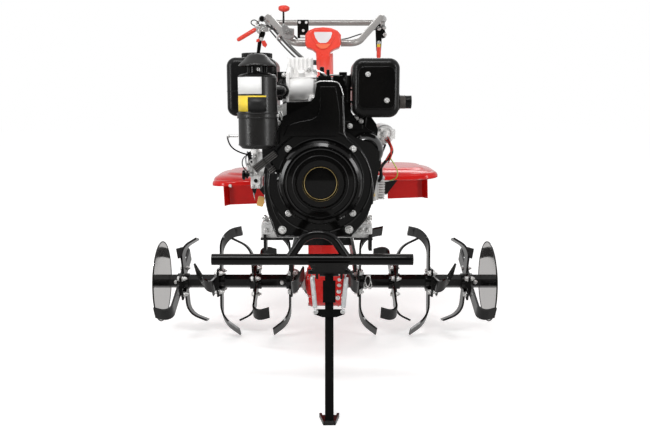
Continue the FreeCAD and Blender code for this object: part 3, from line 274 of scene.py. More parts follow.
GREY_TUBE = surface(
    "grey_tube", (0.34, 0.325, 0.31), (0.4, 0.385, 0.37), 0.34, metal=0.5, grain=160, depth=0.02, coat=0.2)
GREY_STEEL = surface(
    "grey_steel", (0.3, 0.3, 0.29), (0.42, 0.41, 0.4), 0.34, metal=0.8, grain=600, depth=0.15)
GATE_GREY = surface(
    "gate_grey", (0.26, 0.255, 0.25), (0.33, 0.325, 0.32), 0.4, metal=0.4, grain=500, depth=0.2)
ARM_GREY = surface(
    "arm_grey", (0.05, 0.049, 0.048), (0.085, 0.083, 0.08), 0.38, metal=0.5, grain=500, depth=0.15)
RUBBER = surface(
    "black_rubber", (0.01, 0.01, 0.01), (0.017, 0.016, 0.016), 0.6, grain=1200, depth=0.4, level=0.25)
ORANGE = surface("orange_plastic", (0.86, 0.46, 0.12), (0.92, 0.56, 0.18), 0.3, grain=800, depth=0.1)
GOLD = surface("gold_line", (0.62, 0.44, 0.16), (0.72, 0.54, 0.22), 0.3, metal=0.7, grain=900, depth=0.05)
BRASS = surface("brass", (0.74, 0.52, 0.2), (0.82, 0.6, 0.26), 0.28, metal=0.9, grain=600, depth=0.1)
LABEL_WHITE = surface("label_white", (0.8, 0.8, 0.79), (0.86, 0.86, 0.85), 0.4, grain=1800, depth=0.05)
LABEL_YELLOW = surface("label_yellow", (0.86, 0.6, 0.03), (0.9, 0.66, 0.05), 0.4, grain=1800, depth=0.05)
LABEL_BLACK = surface(
    "label_black", (0.01, 0.01, 0.01), (0.014, 0.014, 0.014), 0.4, grain=1800, depth=0.05, level=0.25)
WINDOW = surface("window_pane", (0.74, 0.74, 0.75), (0.84, 0.84, 0.85), 0.3, grain=1400, depth=0.05)
WIRE_RED = surface("wire_red", (0.7, 0.03, 0.02), (0.78, 0.05, 0.03), 0.45, grain=1500, depth=0.1)
WIRE_GREEN = surface("wire_green", (0.46, 0.55, 0.06), (0.52, 0.62, 0.09), 0.45, grain=1500, depth=0.1)

FINISH = (  # each finish with the CAD nodes that wear it
    (TINE_BLACK, "tine_set_1 tine_set_2 tine_set_3 tine_set_4"),
    (BLACK_PAINT, "rotor_axle tank_bracket bumper_carriers stand_bracket stand_leg fender_carriers "
                  "hand_levers"),
    (PLATE, "end_discs"),
    (CASE_RED, "gear_case"),
    (RED_PAINT, "hitch fender_left fender_right column_bracket"),
    (CAST, "engine_base engine_block starter_motor injection_pump regulator"),
    (BLACK_GLOSS, "fan_shroud recoil_cover bumper_bar bumper_hoop"),
    (GREY_PLASTIC, "pull_handle air_filter filter_cap"),
    (HEAD_CAST, "cylinder_head rocker_cover"),
    (BLACK_PLASTIC, "intake_elbow fuel_tank fuel_cap"),
    (BLACK_MATT, "muffler"),
    (ORANGE, "oil_cap"),
    (SPRING, "stand_springs"),
    (CONSOLE_RED, "handle_column console"),
    (GREY_TUBE, "handle_arm_left handle_arm_right cross_bar"),
    (RUBBER, "handle_grips cables"),
    (GREY_STEEL, "gear_lever"),
)
for node_finish, node_names in FINISH:
    for node_name in node_names.split():
        materials = NODES[node_name].data.materials
        materials.clear()
        materials.append(node_finish)

SLOTS = {  # the CAD slot looked up for the small pieces of each finish, unless they say another
    "black_gloss": (BLACK_GLOSS, BLACK_RIM, BLACK_PAINT, BLACK_MATT, GOLD), "black_matte": (STUB_BROWN,),
    "black_plastic": (BLACK_PLASTIC,), "black_rubber": (RUBBER,), "cast_aluminium": (CAST, HEAD_CAST),
    "grey_plastic": (GREY_PLASTIC, RIB_HIGHLIGHT_GREY, LABEL_WHITE, LABEL_YELLOW, LABEL_BLACK, WINDOW),
    "grey_steel": (GREY_STEEL, GATE_GREY, ARM_GREY), "orange_plastic": (ORANGE, BRASS, WIRE_GREEN),
    "red_paint": (RED_PAINT, CONSOLE_RED, FLAP_RED, CASE_RED, WIRE_RED), "spring_steel": (ZINC, SPRING),
}
SLOT_OF = {finish.name: slot for slot, finishes in SLOTS.items() for finish in finishes}


# ---- shape helpers

WELD_REACH, BEVEL_FROM = 1e-7, math.radians(35)
ON_AXIS = 0.01  # a turned profile's radius that counts as a point, in millimetres
HOOP_SIDES = 8


def across_axis(axis):
    """Two unit directions square to an axis."""
    axis = Vector(axis).normalized()
    first = axis.cross(Z if abs(axis.z) < 0.9 else X).normalized()
    return axis, first, axis.cross(first)


def turned(bm, profile, place, axis, steps=32, closed=False):
    """Revolve (radius, height) points in millimetres about an axis through a place."""
    axis, first, second = across_axis(axis)
    spokes = [around(first, second, 2 * math.pi * step / steps) for step in range(steps)]
    rings = []
    for radius, height in profile:
        middle = place + axis * height * MM
        if radius < ON_AXIS:
            rings.append([bm.verts.new(middle)])
            continue
        rings.append([bm.verts.new(middle + spoke * radius * MM) for spoke in spokes])
    pairs = list(zip(rings, rings[1:]))
    if closed:
        pairs.append((rings[-1], rings[0]))
    for low_ring, high_ring in pairs:
        if len(low_ring) == 1 and len(high_ring) == 1:
            continue
        for step in range(steps):
            after = (step + 1) % steps
            if len(low_ring) == 1:
                bm.faces.new((low_ring[0], high_ring[step], high_ring[after]))
            elif len(high_ring) == 1:
                bm.faces.new((low_ring[step], low_ring[after], high_ring[0]))
            else:
                bm.faces.new((low_ring[step], low_ring[after], high_ring[after], high_ring[step]))


def pin(bm, radius, height, place, axis, steps=32):
    """Plain round bar that stands on a place."""
    turned(bm, [(0, 0), (radius, 0), (radius, height), (0, height)], place, axis, steps)


def hoop(bm, major, minor, place, axis, steps):
    """Round ring about an axis."""
    angles = [2 * math.pi * step / HOOP_SIDES for step in range(HOOP_SIDES)]
    profile = [(major + minor * math.cos(angle), minor * math.sin(angle)) for angle in angles]
    turned(bm, profile, place, axis, steps, closed=True)


def hex_bolt(bm, place, axis, flats, tall, washer=0.0):
    """Hexagon head with a chamfer and a sunk middle, on a washer where one is given."""
    base = 0.0
    if washer:
        turned(bm, [(0, 0), (washer, 0), (washer, 1.6), (washer - 0.6, 2.2), (0, 2.2)], place, axis, 24)
        base = 2.0
    corner = flats / math.sqrt(3)
    profile = [
        (0, base), (corner, base), (corner, base + tall - 1.2), (corner - 1.3, base + tall),
        (corner * 0.45, base + tall), (corner * 0.4, base + tall - 0.7), (0, base + tall - 0.7)]
    turned(bm, profile, place, axis, 6)


def castle_nut(bm, place, axis, flats, tall):
    """Nut on a washer with a crown and the bolt's end standing out of it."""
    hex_bolt(bm, place, axis, flats, tall, flats * 0.72)
    profile = [
        (0, tall), (flats * 0.42, tall), (flats * 0.42, tall + 4), (flats * 0.27, tall + 4),
        (flats * 0.27, tall + 7), (flats * 0.22, tall + 8), (0, tall + 8)]
    turned(bm, profile, place, axis, 12)


def bolt_row(bm, y, places, flats, tall, washer=0.0):
    """Bolts of one size that face the front, at (x, z) places of one depth."""
    for x, z in places:
        hex_bolt(bm, spot(x, y, z), -Y, flats, tall, washer)


def outline_plate(bm, corners, thick, origin, right, up):
    """Flat plate from (u, v) corners in millimetres, its thickness behind the drawn face."""
    back = right.cross(up).normalized() * -thick * MM
    front_ring = [bm.verts.new(origin + right * u * MM + up * v * MM) for u, v in corners]
    back_ring = [bm.verts.new(vert.co + back) for vert in front_ring]
    bm.faces.new(front_ring)
    bm.faces.new(list(reversed(back_ring)))
    for index, vert in enumerate(front_ring):
        after = (index + 1) % len(front_ring)
        bm.faces.new((vert, back_ring[index], back_ring[after], front_ring[after]))


def corner_arcs(half_u, half_v, radii, steps):
    """Outline of a rectangle about its middle, each of its four corners rounded by its own radius."""
    found = []
    sides = ((1, 1), (-1, 1), (-1, -1), (1, -1))
    for turn, ((side_u, side_v), radius) in enumerate(zip(sides, radii)):
        for step in range(steps + 1):
            angle = math.pi / 2 * (turn + step / steps)
            found.append((side_u * (half_u - radius) + radius * math.cos(angle),
                          side_v * (half_v - radius) + radius * math.sin(angle)))
    return found


def rounded_corners(width, height, radius, steps=5):
    """Outline of a rectangle about its middle with four equal corners."""
    return corner_arcs(width / 2, height / 2, [radius] * 4, steps)


def lofted(bm, sections, floor=True):
    """Skin through rings of the same number of places, capped at the last and, if told, at the first."""
    rings = [[bm.verts.new(point) for point in section] for section in sections]
    count = len(rings[0])
    for low_ring, high_ring in zip(rings, rings[1:]):
        for index in range(count):
            after = (index + 1) % count
            bm.faces.new((low_ring[index], low_ring[after], high_ring[after], high_ring[index]))
    if floor:
        bm.faces.new(list(reversed(rings[0])))
    bm.faces.new(rings[-1])


def front_plate(bm, corners, thick, y):
    """Plate whose drawn face looks to the front, its corners as the machine's x and z."""
    outline_plate(bm, corners, thick, spot(0, y, 0), X, Z)


def brick(bm, low, high):
    """Box between two corners in millimetres, its Y counted from the axle."""
    corners = [(low[0], low[2]), (high[0], low[2]), (high[0], high[2]), (low[0], high[2])]
    front_plate(bm, corners, high[1] - low[1], low[1])


def piece(name, bm, material, body="frame", slot="", bevel=0.6, segments=2, smooth=40):
    """Finished mesh object: welded, bevelled, smooth shaded, riding on a body."""
    slot = slot or SLOT_OF[material.name]
    bmesh.ops.remove_doubles(bm, verts=bm.verts, dist=WELD_REACH)
    bmesh.ops.recalc_face_normals(bm, faces=bm.faces)
    mesh = bpy.data.meshes.new(name)
    bm.to_mesh(mesh)
    bm.free()
    for face in mesh.polygons:
        face.use_smooth = True
    mesh.set_sharp_from_angle(angle=math.radians(smooth))
    mesh.materials.append(material)
    item = add_object(name, mesh)
    if bevel:
        soft = item.modifiers.new("bevel", "BEVEL")
        soft.width = bevel * MM
        soft.segments = segments
        soft.limit_method = "ANGLE"
        soft.angle_limit = BEVEL_FROM
        soft.harden_normals = True
    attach(item, body)
    return item


def bolts_piece(name, bm, body="frame"):
    """Zinc plated bolts as one piece with small crisp edges."""
    piece(name, bm, ZINC, body, bevel=0.3, segments=1)


def group(name, material, shapes, body="frame", **settings):
    """One piece out of shapes that are given as their makers and values."""
    bm = bmesh.new()
    for maker, *values in shapes:
        maker(bm, *values)
    return piece(name, bm, material, body, **settings)


def bolt_group(name, shapes, body="frame"):
    """Zinc plated bolts as one piece, given as their makers and values."""
    group(name, ZINC, shapes, body, bevel=0.3, segments=1)


def thicken(item, thick, offset):
    """Give an open skin its thickness in millimetres, inward at -1 and both ways at 0."""
    wall = item.modifiers.new("thick", "SOLIDIFY")
    wall.thickness = thick * MM
    wall.offset = offset


def nurbs_curve(name, points, radius, material, cyclic=False):
    """Round cord or bar on one smooth NURBS spline."""
    curve = bpy.data.curves.new(name, "CURVE")
    curve.dimensions = "3D"
    spline = curve.splines.new("NURBS")
    spline.points.add(len(points) - 1)
    for control, point in zip(spline.points, points):
        control.co = (*point, 1)
    spline.order_u = 3
    spline.use_endpoint_u = not cyclic
    spline.use_cyclic_u = cyclic
    curve.bevel_depth = radius * MM
    curve.bevel_resolution = 3
    curve.resolution_u = 8
    curve.use_fill_caps = True
    curve.materials.append(material)
    return add_object(name, curve)


def bent_rod(name, points, radius, material, body="frame", slot="", cyclic=False):
    """Small pipe, bead or wire form through given places in millimetres."""
    slot = slot or SLOT_OF[material.name]
    item = nurbs_curve(name, [spot(*point) for point in points], radius, material, cyclic)
    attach(item, body)


# ---- rotor

SET_PLACES = (101.0, 212.0, 323.0, 434.0)
SET_TURNS = (-6.0, 20.0, -6.0, 20.0)
FLANGE_HALF, BOLT_REACH = 3.0, 31.0 * 0.92 * math.sqrt(2)
DISC_X, DISC_R = 500.0, 122.0


def build_rotor_hardware():
    """Castle nuts and bolts of each flange, pin heads on the tube, disc rims and hub rings."""
    nuts = bmesh.new()
    axle = spot(0, 0, AXLE_MM)
    for place_x, turn in zip(SET_PLACES, SET_TURNS):
        for corner in range(4):
            out = around(Y, Z, math.radians(turn + 45 + 90 * corner)) * BOLT_REACH * MM
            for side in (-1, 1):
                middle = axle + out + X * place_x * side * MM
                castle_nut(nuts, middle + X * FLANGE_HALF * MM, X, 12.0, 7.0)
                hex_bolt(nuts, middle - X * FLANGE_HALF * MM, -X, 13.0, 7.0, 9.0)
    for x, z in ((-131, 180), (-112, 180), (-454, 182), (458, 182)):
        turned(nuts, [(0, 0), (6.5, 0), (6.5, 2.5), (4.5, 5), (0, 5.6)], spot(x, -18, z), -Y, 20)
    bolts_piece("rotor_nuts", nuts, "rotor")
    group("disc_rims", BLACK_PAINT, [
        (hoop, DISC_R - 1.2, 2.1, axle + X * (DISC_X - 0.7) * side * MM, X, 96) for side in (-1, 1)
    ], "rotor", bevel=0)
    group("rotor_hubs", CAST, [
        (turned, [(17, 0), (27, 0), (28, 1), (28, 7), (26, 9), (22, 9), (22, 12), (17, 12)],
         spot(59.5 * side, 0, AXLE_MM), X * side, 36) for side in (-1, 1)
    ], "rotor", bevel=0.4)


def build_pins():
    """Spring clip pair through the rotor tube beside the gear case."""
    for number, (x, side) in enumerate(((124, 1), (136, -1))):
        z = AXLE_MM
        loop = [
            (x, -21, z + 18), (x + 3, -25, z + 24), (x + 12 * side, -26, z + 22),
            (x + 15 * side, -25, z + 6), (x + 8 * side, -24, z - 12), (x - 2 * side, -24, z - 20),
            (x - 7 * side, -23, z - 10), (x - 3 * side, -22, z + 6)]
        bent_rod("tube_clip_%d" % number, loop, 1.7, ZINC, "rotor", cyclic=True)


# ---- front bumper and stand

STAND_LEAN = math.atan2(113.0, 325.0)
DOWN, FORWARD = around(-Z, -Y, STAND_LEAN), around(-Y, Z, STAND_LEAN)
PIVOT = spot(10, -465, 325)
COIL_TURNS, COIL_STEPS, COIL_R, COIL_WIRE = 26, 10, 4.6, 1.35
COIL_START, COIL_SPAN = 0.06, 0.84  # shares of the spring's length
PIN_SIDE, PLATE_SIDE = 41, 32  # half widths between the springs at the pin and at the plate


def build_springs():
    """The stand's two coil springs from the pivot pin down to the cross plate."""
    for name, side in (("left", -1), ("right", 1)):
        pin_end = PIVOT + X * PIN_SIDE * side * MM
        top = pin_end + DOWN * 9 * MM
        low = PIVOT + X * PLATE_SIDE * side * MM + FORWARD * 25 * MM + DOWN * 94 * MM
        line = low - top
        _, first, second = across_axis(line)
        points = [pin_end - DOWN * 8.5 * MM + FORWARD * 2 * MM, top - FORWARD * 7 * MM]
        for step in range(COIL_TURNS * COIL_STEPS + 1):
            out = around(first, second, 2 * math.pi * step / COIL_STEPS)
            share = COIL_START + COIL_SPAN * step / (COIL_TURNS * COIL_STEPS)
            points.append(top + line * share + out * COIL_R * MM)
        points += [low - line * 0.05, low + FORWARD * 3 * MM, low - FORWARD * 6 * MM + DOWN * 2 * MM]
        spring = nurbs_curve("stand_spring_" + name, points, COIL_WIRE, SPRING)
        spring.data.resolution_u = 2
        spring.data.bevel_resolution = 1
        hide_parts("stand_springs")
        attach(spring, "stand")


def build_stand_detail():
    """Bolts of the bracket and of the cross plate."""
    group("bracket_bolts", BLACK_PAINT, [(bolt_row, -481, ((-27, 342), (47, 342)), 11, 6, 7.5)], bevel=0.3)
    ends = bmesh.new()
    for x in (-22, 42):
        place = spot(x, -465, 325) + FORWARD * 16.2 * MM + DOWN * 95 * MM
        hex_bolt(ends, place, FORWARD, 9, 5, 6)
    piece("cross_plate_bolts", ends, ZINC, "stand", bevel=0.3)


# ---- gear case, base and fenders

CASE_BOLTS = ((-34, 214), (-35, 190), (40, 222), (42, 205), (42, 188), (41, 168), (38, 148), (-33, 160))


def build_case_detail():
    """Flange rings with their bolts on both sides of the gear case, and the bolted lugs of its front."""
    flange = bmesh.new()
    for side in (-1, 1):
        turned(flange, [(66, 0), (78, 0), (78, 5), (76, 6.5), (66, 6.5)],
               spot(38 * side, 0, AXLE_MM), X * side, 48)
        turned(flange, [(30, 0), (44, 0), (42, 6), (30, 7)], spot(49 * side, 0, AXLE_MM), X * side, 40)
    piece("case_flanges", flange, CASE_RED, bevel=0.6)
    bolts = bmesh.new()
    for side in (-1, 1):
        for step in range(8):
            out = around(Y, Z, math.radians(22.5 + 45 * step)) * 71 * MM
            hex_bolt(bolts, spot(44 * side, 0, AXLE_MM) + out, X * side, 9, 6, 6.5)
    bolt_row(bolts, -74, CASE_BOLTS, 10, 6, 7)
    bolts_piece("case_bolts", bolts)
    group("case_lugs", CASE_RED, [
        (turned, [(0, -26), (10, -26), (9, -1), (8, 0), (0, 0)], spot(x, -74, z), -Y, 24)
        for x, z in CASE_BOLTS], bevel=0)


def build_base_detail():
    """Feet, bolts and angle legs of the engine base."""
    feet = bmesh.new()
    for low_x, high_x in ((-172, -128), (84, 127)):
        brick(feet, (low_x, -240, 372), (high_x, -229, 399))
        brick(feet, (low_x + 3, -236, 398), (high_x - 12, -196, 405))
    piece("base_feet", feet, CAST, bevel=3.0, segments=3)
    legs = bmesh.new()
    for low_x, high_x in ((-166, -158), (118, 127)):
        brick(legs, (low_x, -236, 326), (high_x, -196, 372))
    brick(legs, (-174, -234, 355), (-86, -196, 361))
    brick(legs, (78, -234, 355), (129, -196, 361))
    piece("base_rails", legs, BLACK_PAINT, bevel=0.8)
    bolts = bmesh.new()
    for x in (-158, -139, 98, 115):
        hex_bolt(bolts, spot(x, -214, 404), Z, 13, 8, 9)
        hex_bolt(bolts, spot(x, -240, 384), -Y, 10, 6, 7)
    for x in (-162, -146, 100, 120):
        hex_bolt(bolts, spot(x, -226, 412), Vector((0.2, -0.6, 0.8)), 11, 10, 8)
    bolts_piece("base_bolts", bolts)


FENDER_CORNER, INNER_SHARE, LEAST_CORNER, LIP_DROP = 0.10, 0.3, 0.012, 0.025


def plan_outline(low, high, inset, outer, steps=10):
    """Outline of a fender's plan in metres, its outer two corners rounder than its inner two."""
    middle = (low + high) / 2
    half_x, half_y = (high.x - low.x) / 2 - inset, (high.y - low.y) / 2 - inset
    radii = []
    for side in (1, -1, -1, 1):
        radius = FENDER_CORNER if side == outer else FENDER_CORNER * INNER_SHARE
        radii.append(min(max(radius - inset * 0.9, LEAST_CORNER), half_x * 0.98))
    return [(middle.x + x, middle.y + y) for x, y in corner_arcs(half_x, half_y, radii, steps)]


def build_fender_domes():
    """Pressed skin of each fender: rolled lip, domed shoulder and a raised panel on top."""
    rise = [
        (1.5, -1), (-1, 0), (-1, 9), (2, 14), (8, 18), (18, 22), (30, 24.5), (38, 25.4), (43, 28.5),
        (48, 30.4), (62, 31.6), (78, 32)]
    for name, outer in (("left", -1), ("right", 1)):
        low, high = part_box("fender_" + name)
        lip = high.z - LIP_DROP
        bm = bmesh.new()
        sections = []
        for inset, height in rise:
            ring = plan_outline(low, high, inset * MM, outer)
            sections.append([Vector((x, y, lip + height * MM)) for x, y in ring])
        lofted(bm, sections, floor=False)
        skin = piece("fender_skin_" + name, bm, RED_PAINT, bevel=0, smooth=60)
        thicken(skin, 1.5, -1)


def build_fender_bolts():
    """Bolts that hold the fenders, and the bright support plate under the right one."""
    bolt_group("fender_bolts", [
        (hex_bolt, spot(*place), -Y, 9, 4, 6) for place in ((-284, -2, 476), (-150, 6, 498), (150, 6, 503))])
    group("fender_clip", ZINC, [
        (front_plate, [(172, 484), (212, 492), (212, 500), (176, 496)], 4, 3)], bevel=0.8)


# ---- engine front

CRANK = (-11.0, 528.0)
SHROUD_Y = -345.0


def build_recoil_detail():
    """Gold ring on the blank middle disc, beads on the cover and the screws round it."""
    x, z = CRANK
    group("recoil_gold_ring", GOLD, [(hoop, 40, 0.9, spot(x, -389.6, z), Y, 72)], bevel=0)
    group("recoil_beads", BLACK_RIM, [
        (hoop, 84, 1.6, spot(x, -393.5, z), Y, 96),
        (hoop, 68, 1.2, spot(x, -393.6, z), Y, 96),
        (hoop, 107, 2.4, spot(x, SHROUD_Y - 1, z), Y, 96),
        (hoop, 130, 2.6, spot(x - 3, SHROUD_Y + 0.5, z), Y, 96),
        (hoop, 57, 1.6, spot(x, -389.2, z), Y, 96)], bevel=0)
    group("recoil_middle", BLACK_GLOSS, [
        (turned, [(0, 0), (38.5, 0), (38.5, 1.0), (36.5, 1.8), (0, 1.8)], spot(x, -389, z), -Y, 72)
    ], bevel=0)
    bolts = bmesh.new()
    for side_x in (-1, 1):
        for side_z in (-1, 1):
            hex_bolt(bolts, spot(x + 81 * side_x, SHROUD_Y, z + 81 * side_z), -Y, 11, 6, 8.5)
    bolt_row(bolts, SHROUD_Y, ((-108, 404), (61, 405)), 14, 8, 10.5)
    hex_bolt(bolts, spot(63, -309, 664), -Y, 10, 5, 7)
    hex_bolt(bolts, spot(-31, -246, 730), -Y, 12, 5, 8)
    bolts_piece("shroud_bolts", bolts)


def build_shroud_detail():
    """Raised rim line, a bright top edge strip as painted highlight, starter bulge and back plate of the fan
    shroud, and the rope guard with a painted highlight line.
    """
    y = SHROUD_Y
    bent_rod("shroud_rim", [
        (44, y, 740), (46, y, 700), (46.5, y, 660), (48, y, 642), (60, y, 628), (76, y, 616), (92, y, 600),
        (106, y, 575), (116, y, 545), (121, y, 505), (119, y, 470)], 2.6, BLACK_RIM)
    bent_rod("shroud_left_edge", [
        (-150, y, 548), (-152, y, 528), (-151, y, 498), (-145, y, 458), (-136, y, 428), (-129, y, 406),
        (-120, y, 390)], 2.2, BLACK_RIM)
    bent_rod("shroud_inner_edge", [
        (-137, y, 560), (-141, y, 528), (-140, y, 500), (-133, y, 462), (-120, y, 430), (-104, y, 412)],
        1.8, BLACK_RIM)
    bent_rod("shroud_foot_edge", [
        (-118, y, 388), (-80, y, 388), (0, y, 388), (64, y, 388), (76, y, 402), (92, y, 420), (104, y, 436),
        (117, y, 472)], 2.0, BLACK_RIM)
    # Thin bright zinc strip along the shroud's top edge: painted highlight line.
    bent_rod("shroud_top_highlight_strip", [
        (-24, y + 1, 768), (-18, y + 1, 774), (0, y + 1, 774.5), (26, y + 1, 774), (36, y + 1, 768),
        (43, y + 1, 750), (46, y + 1, 736)], 1.3, ZINC)
    group("shroud_face", BLACK_GLOSS, [
        (front_plate, [(-13, 706), (-20, 690), (-34, 682), (-62, 677), (-92, 668), (-104, 640), (30, 640),
         (38, 655), (36, 706), (27, 762), (-13, 762)], 5, y - 2.4)], bevel=2.2, segments=3)
    group("shroud_back_plate", BLACK_GLOSS, [
        (front_plate, [(20, 790), (44, 790), (56, 735), (66, 700), (82, 676), (104, 660), (128, 645),
         (143, 618), (144, 560), (120, 520), (20, 520)], 6, -300),
        (front_plate, [(40, 676), (74, 676), (96, 668), (96, 655), (40, 655)], 10, -306),
        (front_plate, [(-160, 560), (-162, 640), (-121, 655), (-118, 690), (-106, 724), (-18, 727),
         (-10, 560)], 8, -300)], bevel=2.0, segments=3)
    group("starter_bulge", BLACK_RIM, [
        (turned, [(0, 0), (44, 0), (43, 26), (37, 38), (29, 43), (27, 38), (18, 36), (17, 40), (10, 43),
         (0, 43)], spot(104, -300, 604), -Y, 48)], bevel=0)
    guard = [
        (-116, -356, 534), (-112, -372, 524), (-104, -376, 512), (-98, -376, 496), (-92, -374, 474),
        (-84, -372, 456), (-74, -370, 444)]
    bent_rod("rope_guard", guard, 5.0, BLACK_PAINT)
    # Thin light grey line along the black guard's upper front edge: painted highlight.
    edge = [(x + 6, y - 3, z + 4) for x, y, z in guard]
    bent_rod("rope_guard_highlight_line", edge, 1.5, RIB_HIGHLIGHT_GREY, slot="black_gloss")


def build_handle_detail():
    """Square-ended pull handle with long ribs in a lighter grey as painted highlight, its stem, and the
    rope's bright guide.
    """
    centre = spot(-148, -351, 579)
    lean = math.radians(38)
    along, square = around(X, Z, lean), around(Z, -X, lean)
    stem = centre - square * 9 * MM
    body_item = group("pull_grip", GREY_PLASTIC, [
        (outline_plate, rounded_corners(68, 19, 3), 18, centre - Y * 9 * MM, along, square),
        (turned, [(0, 0), (9.5, 0), (8, 12), (7, 20), (7, 30), (0, 30)], stem, -square, 24)], bevel=1.2)
    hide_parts("pull_handle")
    ribs = bmesh.new()
    long_rib = [(-15.5, -0.8), (15.5, -0.8), (15.5, 0.8), (-15.5, 0.8)]
    for row in range(4):
        for half in (-1, 1):
            middle = centre + square * (row - 1.5) * 4.8 * MM + along * 17 * half * MM - Y * 11 * MM
            outline_plate(ribs, long_rib, 3, middle, along, square)
    for step in (11, 16, 21):
        turned(ribs, [(7, 0), (9.6, 0.5), (9.6, 2), (7, 2.5)], stem - square * step * MM, -square, 24)
    # The ribs' lighter grey is painted highlight.
    piece("pull_ribs", ribs, RIB_HIGHLIGHT_GREY, bevel=0.4)
    group("rope_guide", ZINC, [
        (pin, 1.8, 13, spot(-117, -378, 537), along, 12),
        (pin, 2.2, 3, spot(-121, -372, 552), -Y, 12)], bevel=0.4)


# ---- air filter and tank

FILTER, LABEL_R = (-161.0, -390.0), 46.4


def wrapped_label(name, start, end, low, high, material, steps=14):
    """Thin blank label bent round the filter drum, from one bearing to another in degrees."""
    bm = bmesh.new()
    angles = [math.radians(start + (end - start) * step / steps) for step in range(steps + 1)]
    places = [around(-Y, X, angle) * LABEL_R * MM for angle in angles]
    rows = [[bm.verts.new(spot(*FILTER, z) + place) for place in places] for z in (low, high)]
    for step in range(steps):
        bm.faces.new((rows[0][step], rows[0][step + 1], rows[1][step + 1], rows[1][step]))
    item = piece(name, bm, material, bevel=0)
    thicken(item, 0.3, 0)


def build_filter_detail():
    """Blank labels, slotted neck, beads, clamp screw and the cap."""
    wrapped_label("label_white", -84, 17, 743, 782, LABEL_WHITE)
    wrapped_label("label_yellow", -84, -25, 702, 739, LABEL_YELLOW)
    wrapped_label("label_black", -24.4, 31, 702, 735.2, LABEL_BLACK)
    wrapped_label("label_header", -24.4, 31, 735.6, 739, LABEL_YELLOW)
    axis_spot = spot(*FILTER, 0)
    neck = bmesh.new()
    for number in range(14):
        out = around(-Y, X, 2 * math.pi * number / 14)
        outline_plate(neck, [(-2.0, 789), (2.0, 789), (2.0, 811), (-2.0, 811)], 5,
                      axis_spot + out * 23.5 * MM, Z.cross(out), Z)
    turned(neck, [
        (0, 784), (45.2, 784), (44.5, 786.5), (40, 789), (33, 790.5), (27.5, 791.5), (27, 793), (0, 793)],
        axis_spot, Z, 48)
    turned(neck, [(0, 788), (20.5, 788), (20.5, 811), (0, 811)], axis_spot, Z, 40)
    piece("filter_neck", neck, BLACK_PLASTIC, slot="grey_plastic", bevel=0.4)
    bits = bmesh.new()
    for bearing in (4, 18):
        out = around(-Y, X, math.radians(bearing))
        pin(bits, 1.6, 7, spot(*FILTER, 796.5) + out * 21 * MM, Z, 12)
    piece("filter_neck_pins", bits, ZINC, bevel=0)
    group("filter_beads", GREY_PLASTIC, [
        (hoop, 49.2, 1.5, spot(*FILTER, 697.5), Z, 72),
        (hoop, 49.2, 1.3, spot(*FILTER, 687.5), Z, 72),
        (hoop, 47, 1.4, spot(*FILTER, 622.5), Z, 72)], bevel=0)
    hat = group("filter_hat", GREY_PLASTIC, [
        (turned, [(0, 810), (30, 809.5), (43, 807.5), (44.5, 808.2), (44.6, 809.6), (43, 812.5),
         (38.5, 817), (32, 822.5), (27, 828), (21.5, 834), (15, 837), (0, 837.5)], axis_spot, Z, 56)
    ], slot="black_plastic", bevel=0)
    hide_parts("filter_cap")
    group("clamp_screw", ZINC, [
        (brick, (-118, -402, 688), (-110, -388, 697)),
        (pin, 3, 16, spot(-114, -406, 692.5), Y, 12)], bevel=0.6)


def build_tank_detail():
    """Moulded seam round the tank, and the cap's grip ribs."""
    group("tank_seam", BLACK_PLASTIC, [
        (outline_plate, rounded_corners(136.5, 152.5, 22, 8), 3.2, spot(-196, -120, 750.5), X, -Y)
    ], bevel=1.2, segments=3)
    ribs = bmesh.new()
    for number in range(30):
        out = around(X, Y, 2 * math.pi * number / 30)
        outline_plate(ribs, [(-1.6, 842), (1.6, 842), (1.6, 854.5), (-1.6, 854.5)], 3,
                      spot(-187, -120, 0) + out * 42.2 * MM, Z.cross(out), Z)
    piece("tank_cap_ribs", ribs, BLACK_PLASTIC, bevel=0.5)


# ---- head, pipes and muffler

